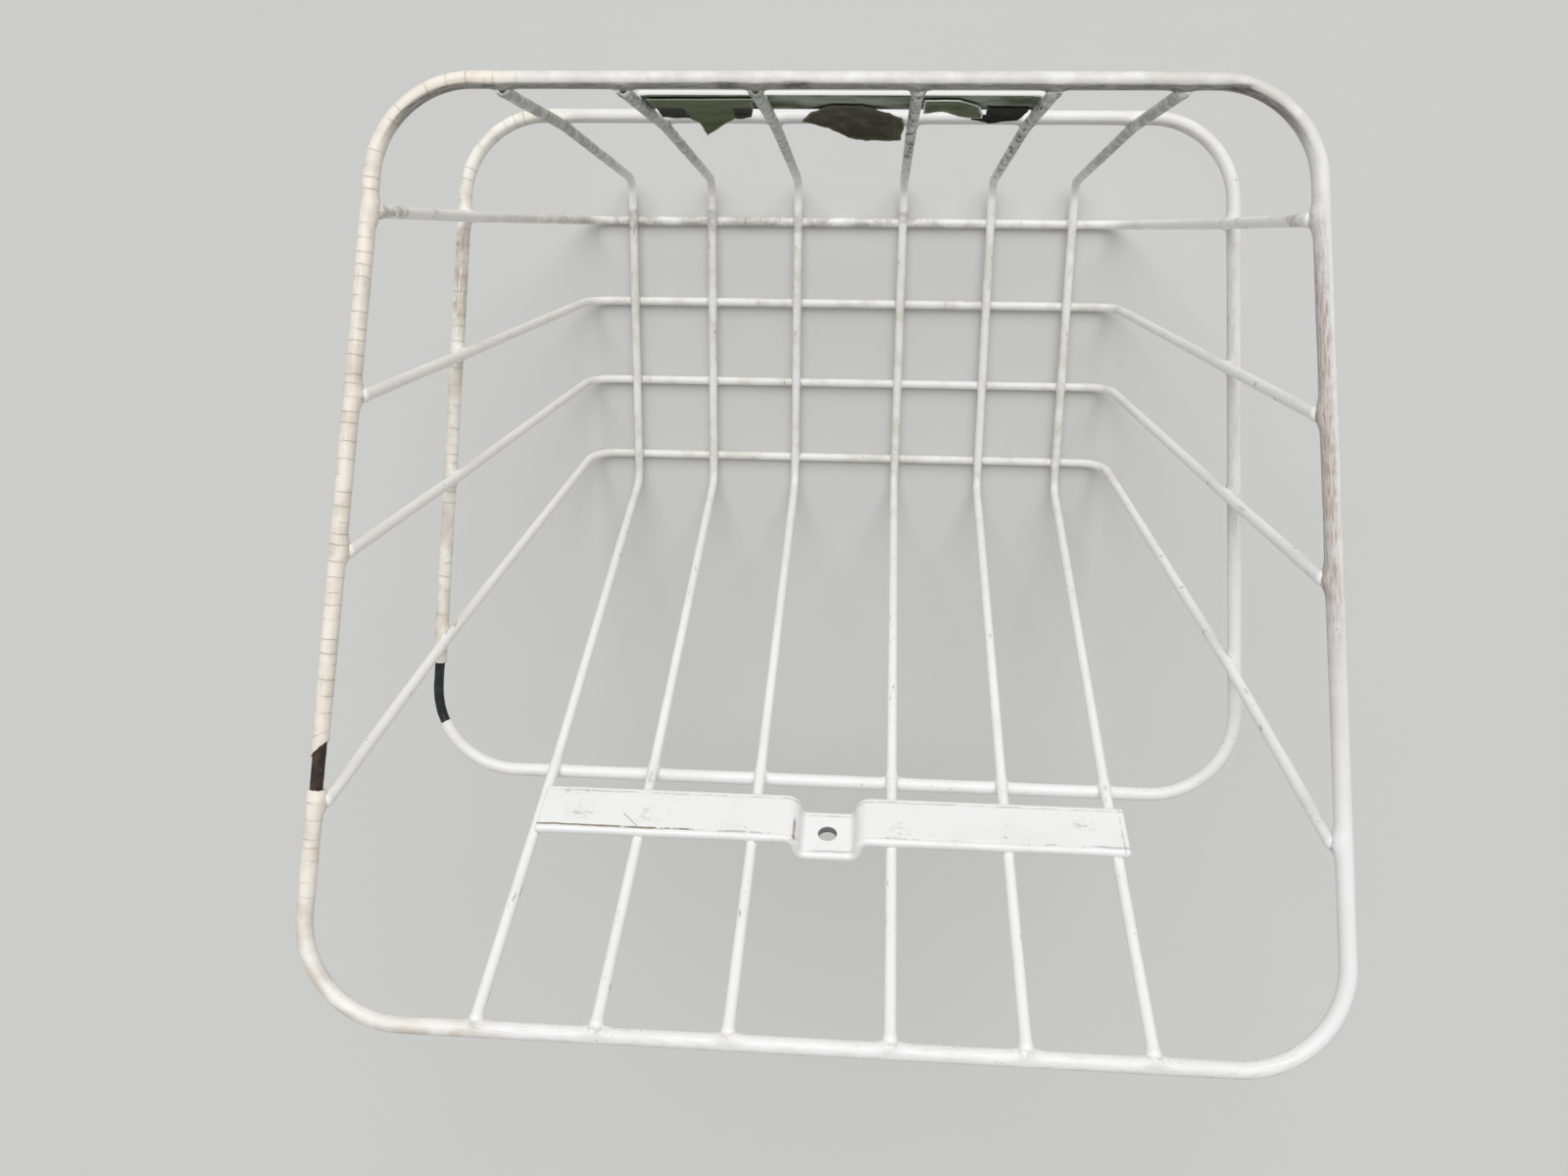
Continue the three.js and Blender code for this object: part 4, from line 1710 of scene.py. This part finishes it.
@dataclass
class Basket:
    """The welded basket: two hoops, ten wires, a strap, a plate and what is left of a film.

    Cross_y holds the drawing's y of each cross wire at the floor, the ring and the rim.
    """

    rim: Hoop
    ring: Hoop
    films: list[FilmRemnant]
    wire_coat: WireCoating
    strap_coat: StrapCoating
    plate_coat: PlateCoating
    wire_radius: float = 0.0020
    floor_front: float = 0.0715
    floor_rear: float = -0.0715
    floor_width: float = 0.2505
    long_bend: float = 0.009
    cross_bend: float = 0.012
    long_x: tuple[float, ...] = (-0.1025, -0.065, -0.0245, 0.0245, 0.065, 0.1025)
    dimpled: int = 3
    cross_y: Spots = (
        (0.053, 0.0545, 0.056), (0.0157, 0.0055, 0.001),
        (-0.022, -0.039, -0.0455), (-0.0587, -0.098, -0.1205),
    )
    floor_gather: float = 0.0020
    bar_gather: float = 0.0016

    def seat(self, crossing: Crossing, leg: Vector, hoop: Hoop) -> Vector:
        """Centre of a wire where it laps a hoop on the inside.

        Args:
            crossing: Where the hoop is met.
            leg: The wire's direction there.
            hoop: The hoop.

        Returns:
            The seat.
        """
        normal = crossing.tangent.cross(leg).normalized()
        outward = math.copysign(1.0, normal.dot(crossing.place - self.ring.middle))
        return crossing.place - normal * outward * (hoop.radius + self.wire_radius - WELD_SINK)

    def leg(self, wall: Wall, rim_at: float, ring_at: float, floor_corner: Vector, foot: Foot) -> Leg:
        """A wall leg.

        Args:
            wall: The wall that it climbs.
            rim_at: Where it meets the rim.
            ring_at: Where it meets the ring.
            floor_corner: Where its lines meet at the floor, in the drawing.
            foot: How it ends.

        Returns:
            The leg.
        """
        rim_crossing = self.rim.crossing(wall, rim_at)
        ring_crossing = self.ring.crossing(wall, ring_at)
        corner = floor_corner + SHIFT
        rim_seat = self.seat(rim_crossing, rim_crossing.place - ring_crossing.place, self.rim)
        ring_seat = self.seat(ring_crossing, rim_crossing.place - corner, self.ring)
        return Leg(rim_seat, ring_seat, corner, (rim_seat - ring_seat).normalized(), foot)

    def wire(self, name: str, first: Leg, last: Leg, bend: float) -> Wire:
        """A wire of the basket's gauge."""
        return Wire(name, first, last, self.wire_radius, bend, self.wire_coat)

    def long_wires(self) -> list[Wire]:
        """Lays out the long wires.

        Returns:
            The six wires from the front rim under the load to the rear rim.
        """
        wires = []
        for number, x in enumerate(self.long_x, start=1):
            front_foot = Foot.DIMPLED if number <= self.dimpled else Foot.DOMED
            front = self.leg(Wall.FRONT, x, x, Vector((x, self.floor_front, 0.0)), front_foot)
            rear = self.leg(Wall.REAR, x, x, Vector((x, self.floor_rear, 0.0)), Foot.COVERED)
            wires.append(self.wire(f"long_wire_{number}", front, rear, self.long_bend))
        return wires

    def cross_wires(self) -> list[Wire]:
        """Lays out the cross wires.

        Returns:
            The four wires from side to side under the long ones.
        """
        drop = 2 * self.wire_radius - WELD_SINK
        half = self.floor_width / 2
        wires = []
        for number, (floor_y, ring_y, rim_y) in enumerate(self.cross_y, start=1):
            left = self.leg(Wall.LEFT, rim_y, ring_y, Vector((-half, floor_y, -drop)), Foot.COVERED)
            right = self.leg(Wall.RIGHT, rim_y, ring_y, Vector((half, floor_y, -drop)), Foot.COVERED)
            wires.append(self.wire(f"cross_wire_{number}", left, right, self.cross_bend))
        return wires

    def build(self) -> None:
        """Makes every piece, the hoops first."""
        rim, ring, radius = self.rim, self.ring, self.wire_radius
        long_wires, cross_wires = self.long_wires(), self.cross_wires()
        strap = RearStrap(wall_frame(long_wires[2].last), radius, self.strap_coat)
        plate = FrontPlate(wall_frame(long_wires[2].first), radius, self.plate_coat)
        legs = [leg for wire in (*long_wires, *cross_wires) for leg in (wire.first, wire.last)]
        rim.build([leg.upper(radius, rim.dirt) for leg in legs])
        ring.build([rod for leg in legs for rod in leg.rods(radius, ring.gather, ring.dirt)])
        bars = [strap.bar(self.bar_gather), plate.bar(self.bar_gather)]
        for wires, walls, others, touching in (
            (long_wires, (Wall.FRONT, Wall.REAR), cross_wires, bars),
            (cross_wires, (Wall.LEFT, Wall.RIGHT), long_wires, []),
        ):
            hoop_rods = [hoop.rod(wall) for hoop in (rim, ring) for wall in walls]
            floor_rods = [other.floor_rod(self.floor_gather) for other in others]
            for wire in wires:
                wire.build([*hoop_rods, *floor_rods, *touching])
        strap.build()
        plate.build()
        for film in self.films:
            film.build(plate)


# Studio


@dataclass
class Studio:
    """Floor, light and camera."""

    floor: PaleFloor
    floor_size: float = 8.0
    floor_level: float = -0.0002
    key_from: tuple[float, float, float] = (0.02, 0.68, 0.74)
    key_spread: float = 55.0
    key_level: float = 2.05
    sky: float = 0.46
    backdrop: float = 0.60
    camera_place: tuple[float, float, float] = (0.01488, 0.10087, 0.61963)
    camera_forward: tuple[float, float, float] = (-0.069, -0.2826, -0.9567)
    camera_up: tuple[float, float, float] = (-0.0296, 0.9592, -0.2812)
    camera_near: float = 0.01
    lens: float = 28.98
    sensor: float = 36.0

    def build(self) -> None:
        """Sets the stage."""
        self.build_floor()
        self.build_key()
        self.build_sky()
        self.build_camera()
        bpy.context.scene.view_settings.view_transform = "Standard"

    def build_floor(self) -> None:
        """A wide plane just under the basket."""
        mesh = bmesh.new()
        place = Matrix.Translation((0.0, 0.0, self.floor_level))
        bmesh.ops.create_grid(mesh, x_segments=4, y_segments=4, size=self.floor_size / 2, matrix=place)
        plane = linked("floor", poured(mesh, "floor"))
        plane.data.materials.append(self.floor.material())

    def build_key(self) -> None:
        """One wide, soft and even lamp."""
        lamp = bpy.data.lights.new("key", "SUN")
        lamp.angle = math.radians(self.key_spread)
        lamp.energy = self.key_level
        direction = Vector(self.key_from).normalized()
        turn = direction.to_track_quat("Z", "Y").to_matrix().to_4x4()
        linked("key", lamp).matrix_world = Matrix.Translation(direction) @ turn

    def build_sky(self) -> None:
        """Even grey light, seen a little paler in the picture and in reflections."""
        sheet = Sheet(bpy.data.worlds.new("studio"))
        bpy.context.scene.world = sheet.owner
        path = sheet.node("ShaderNodeLightPath", {}, {})
        kinds = ("Is Camera Ray", "Is Glossy Ray", "Is Transmission Ray")
        camera, glossy, through = (Value(sheet, path.outputs[kind]) for kind in kinds)
        white = (1.0, 1.0, 1.0, 1.0)
        lit, shown = (
            sheet.take("ShaderNodeBackground", {}, {"Color": white, "Strength": level})
            for level in (self.sky, self.backdrop)
        )
        seen = camera.most(glossy).most(through)
        mixed = sheet.take("ShaderNodeMixShader", {}, {0: seen, 1: lit, 2: shown})
        sheet.node("ShaderNodeOutputWorld", {}, {0: mixed})

    def build_camera(self) -> None:
        """The photograph's camera, over the mouth of the basket."""
        data = bpy.data.cameras.new("camera")
        data.lens = self.lens
        data.sensor_width = self.sensor
        data.sensor_fit = "HORIZONTAL"
        data.clip_start = self.camera_near
        back = -Vector(self.camera_forward).normalized()
        right = Vector(self.camera_up).cross(back).normalized()
        turn = Matrix((right, back.cross(right), back)).transposed().to_4x4()
        camera = linked("camera", data)
        camera.matrix_world = Matrix.Translation(self.camera_place) @ turn
        bpy.context.scene.camera = camera


def films() -> list[FilmRemnant]:
    """Lays out the torn film.

    Returns:
        Four pieces from left to right.
    """
    # The pale and the light film are painted dark green-grey, painted shade and painted green reflection over
    # pale film; each film's edge colour is a painted highlight.
    pale = TornFilm(
        "film_pale", (0.075, 0.09, 0.042, 1), (0.135, 0.155, 0.08, 1), (0.28, 0.30, 0.21, 1),
        glue_and_shade_spots=(-0.0585, -0.0300),
    )
    dusk = TornFilm("film_dusk", (0.054, 0.052, 0.036, 1), (0.11, 0.108, 0.076, 1), (0.2, 0.2, 0.15, 1))
    light = TornFilm(
        "film_light", (0.075, 0.095, 0.05, 1), (0.15, 0.175, 0.10, 1), (0.72, 0.72, 0.68, 1), edge_share=0.95,
    )
    black = TornFilm("film_black", (0.007, 0.008, 0.004, 1), (0.022, 0.022, 0.016, 1), (0.04, 0.04, 0.03, 1))
    left, centre, right = (-0.065, -0.0245), (-0.0245, 0.0245), (0.0245, 0.065)
    return [
        FilmRemnant("film_remnant_left", left, curl_height=0.13, curl_radius=0.060, finish=pale, edge=(
            (-0.93, 0.96), (0.96, 1.0), (0.77, -0.17), (0.43, -0.26),
            (-0.18, -0.74), (-0.30, -0.37), (-0.42, -0.22), (-0.93, -0.18),
        )),
        FilmRemnant("film_remnant_centre", centre, curl_height=0.42, curl_radius=0.040, finish=dusk, edge=(
            (-0.59, -0.07), (-0.4, 0.22), (-0.13, 0.5), (0.32, 0.48), (0.67, 0.18),
            (0.91, 0.0), (0.95, -0.13), (0.91, -0.43), (0.21, -0.42), (-0.2, -0.23),
        )),
        FilmRemnant("film_remnant_right", right, curl_height=0.61, curl_radius=0.060, finish=light, edge=(
            (-0.96, 0.95), (-0.35, 0.95), (0.04, 0.51), (0.14, 0.1),
            (-0.2, 0.13), (-0.64, 0.31), (-0.96, 0.27),
        )),
        FilmRemnant("film_remnant_far_right", right, curl_height=0.38, curl_radius=0.040, finish=black, edge=(
            (0.19, 0.42), (0.26, 0.35), (0.93, 0.31), (0.93, 0.19), (0.81, -0.07),
            (0.26, -0.16), (-0.07, -0.05), (-0.09, 0.06), (0.19, 0.06),
        )),
    ]


def hoops() -> tuple[Hoop, Hoop]:
    """Lays out the hoops.

    Returns:
        The rim and the middle ring.
    """
    rim = Hoop(
        "rim", rear_width=0.320, front_width=0.282, rear_y=-0.1855, front_y=0.095, rear_height=0.288,
        front_height=0.207, corner=0.031, radius=0.0027, core_radius=0.0021, gather=0.0034, dirt=0.7,
        bare=BareStretch(reference_y=-0.1205, start=-0.019, length=0.015, cover=0.005, slant=0.0029),
        coat=HoopCoating("rim_coating", stain_spots=(
            (-0.0335, 0.1386, 0.0036, 0.0010), (-0.0122, 0.1386, 0.0042, 0.0012),
            (0.1187, 0.1380, 0.0040, 0.0013),
        )),
        steel=BareSteel(
            "rust", dark=(0.020, 0.014, 0.010, 1), light=(0.075, 0.048, 0.030, 1),
            rough=0.78, metal=0.15, relief=0.10, patches=260.0,
        ),
        steel_slot=Slot.RUST,
    )
    ring = Hoop(
        "mid_ring", rear_width=0.300, front_width=0.274, rear_y=-0.1475, front_y=0.090, rear_height=0.1815,
        front_height=0.132, corner=0.030, radius=0.0025, core_radius=0.0019, gather=0.0026, dirt=0.8,
        bare=BareStretch(reference_y=-0.098, start=0.0085, length=0.025, cover=0.002, slant=0.0),
        coat=HoopCoating(
            "ring_coating", cream=(0.89, 0.86, 0.78, 1.0), cream_rear=-0.06, scuff_share=0.3,
            front_share=0.35, stain=(0.36, 0.29, 0.20, 1.0), stain_share=0.6,
            stain_spots=((-0.14, 0.092, 0.004, 0.005), (-0.14, 0.074, 0.003, 0.016)),
        ),
        steel=BareSteel(
            "blackened", dark=(0.008, 0.009, 0.010, 1), light=(0.026, 0.028, 0.030, 1),
            rough=0.34, metal=0.25, relief=0.02, patches=420.0,
        ),
        steel_slot=Slot.DARK,
    )
    return rim, ring


def main() -> None:
    """Builds the basket and its studio."""
    logging.basicConfig(level=logging.INFO, format="%(name)s %(relativeCreated)d ms: %(message)s")
    noise.seed_set(TEAR_SEED)
    rim, ring = hoops()
    spots = ((-0.091, -0.008), (-0.0875, 0.0015), (-0.061, 0.0024), (0.031, 0.004), (0.090, -0.0016))
    # Black spots on the plate's inner face, partly residue and partly painted shade: along, across and half
    # width.
    residue_and_shade_places = ((-0.058, -0.0112, 0.0045), (-0.030, -0.0125, 0.0035), (0.0615, -0.011, 0.002))
    basket = Basket(
        rim, ring, films(), WireCoating("wire_coating"), StrapCoating("strap_coating", smudge_spots=spots),
        PlateCoating("plate_coating", residue_and_shade_spots=residue_and_shade_places),
    )
    basket.build()
    Studio(PaleFloor("pale_floor")).build()


if __name__ == "__main__":
    main()
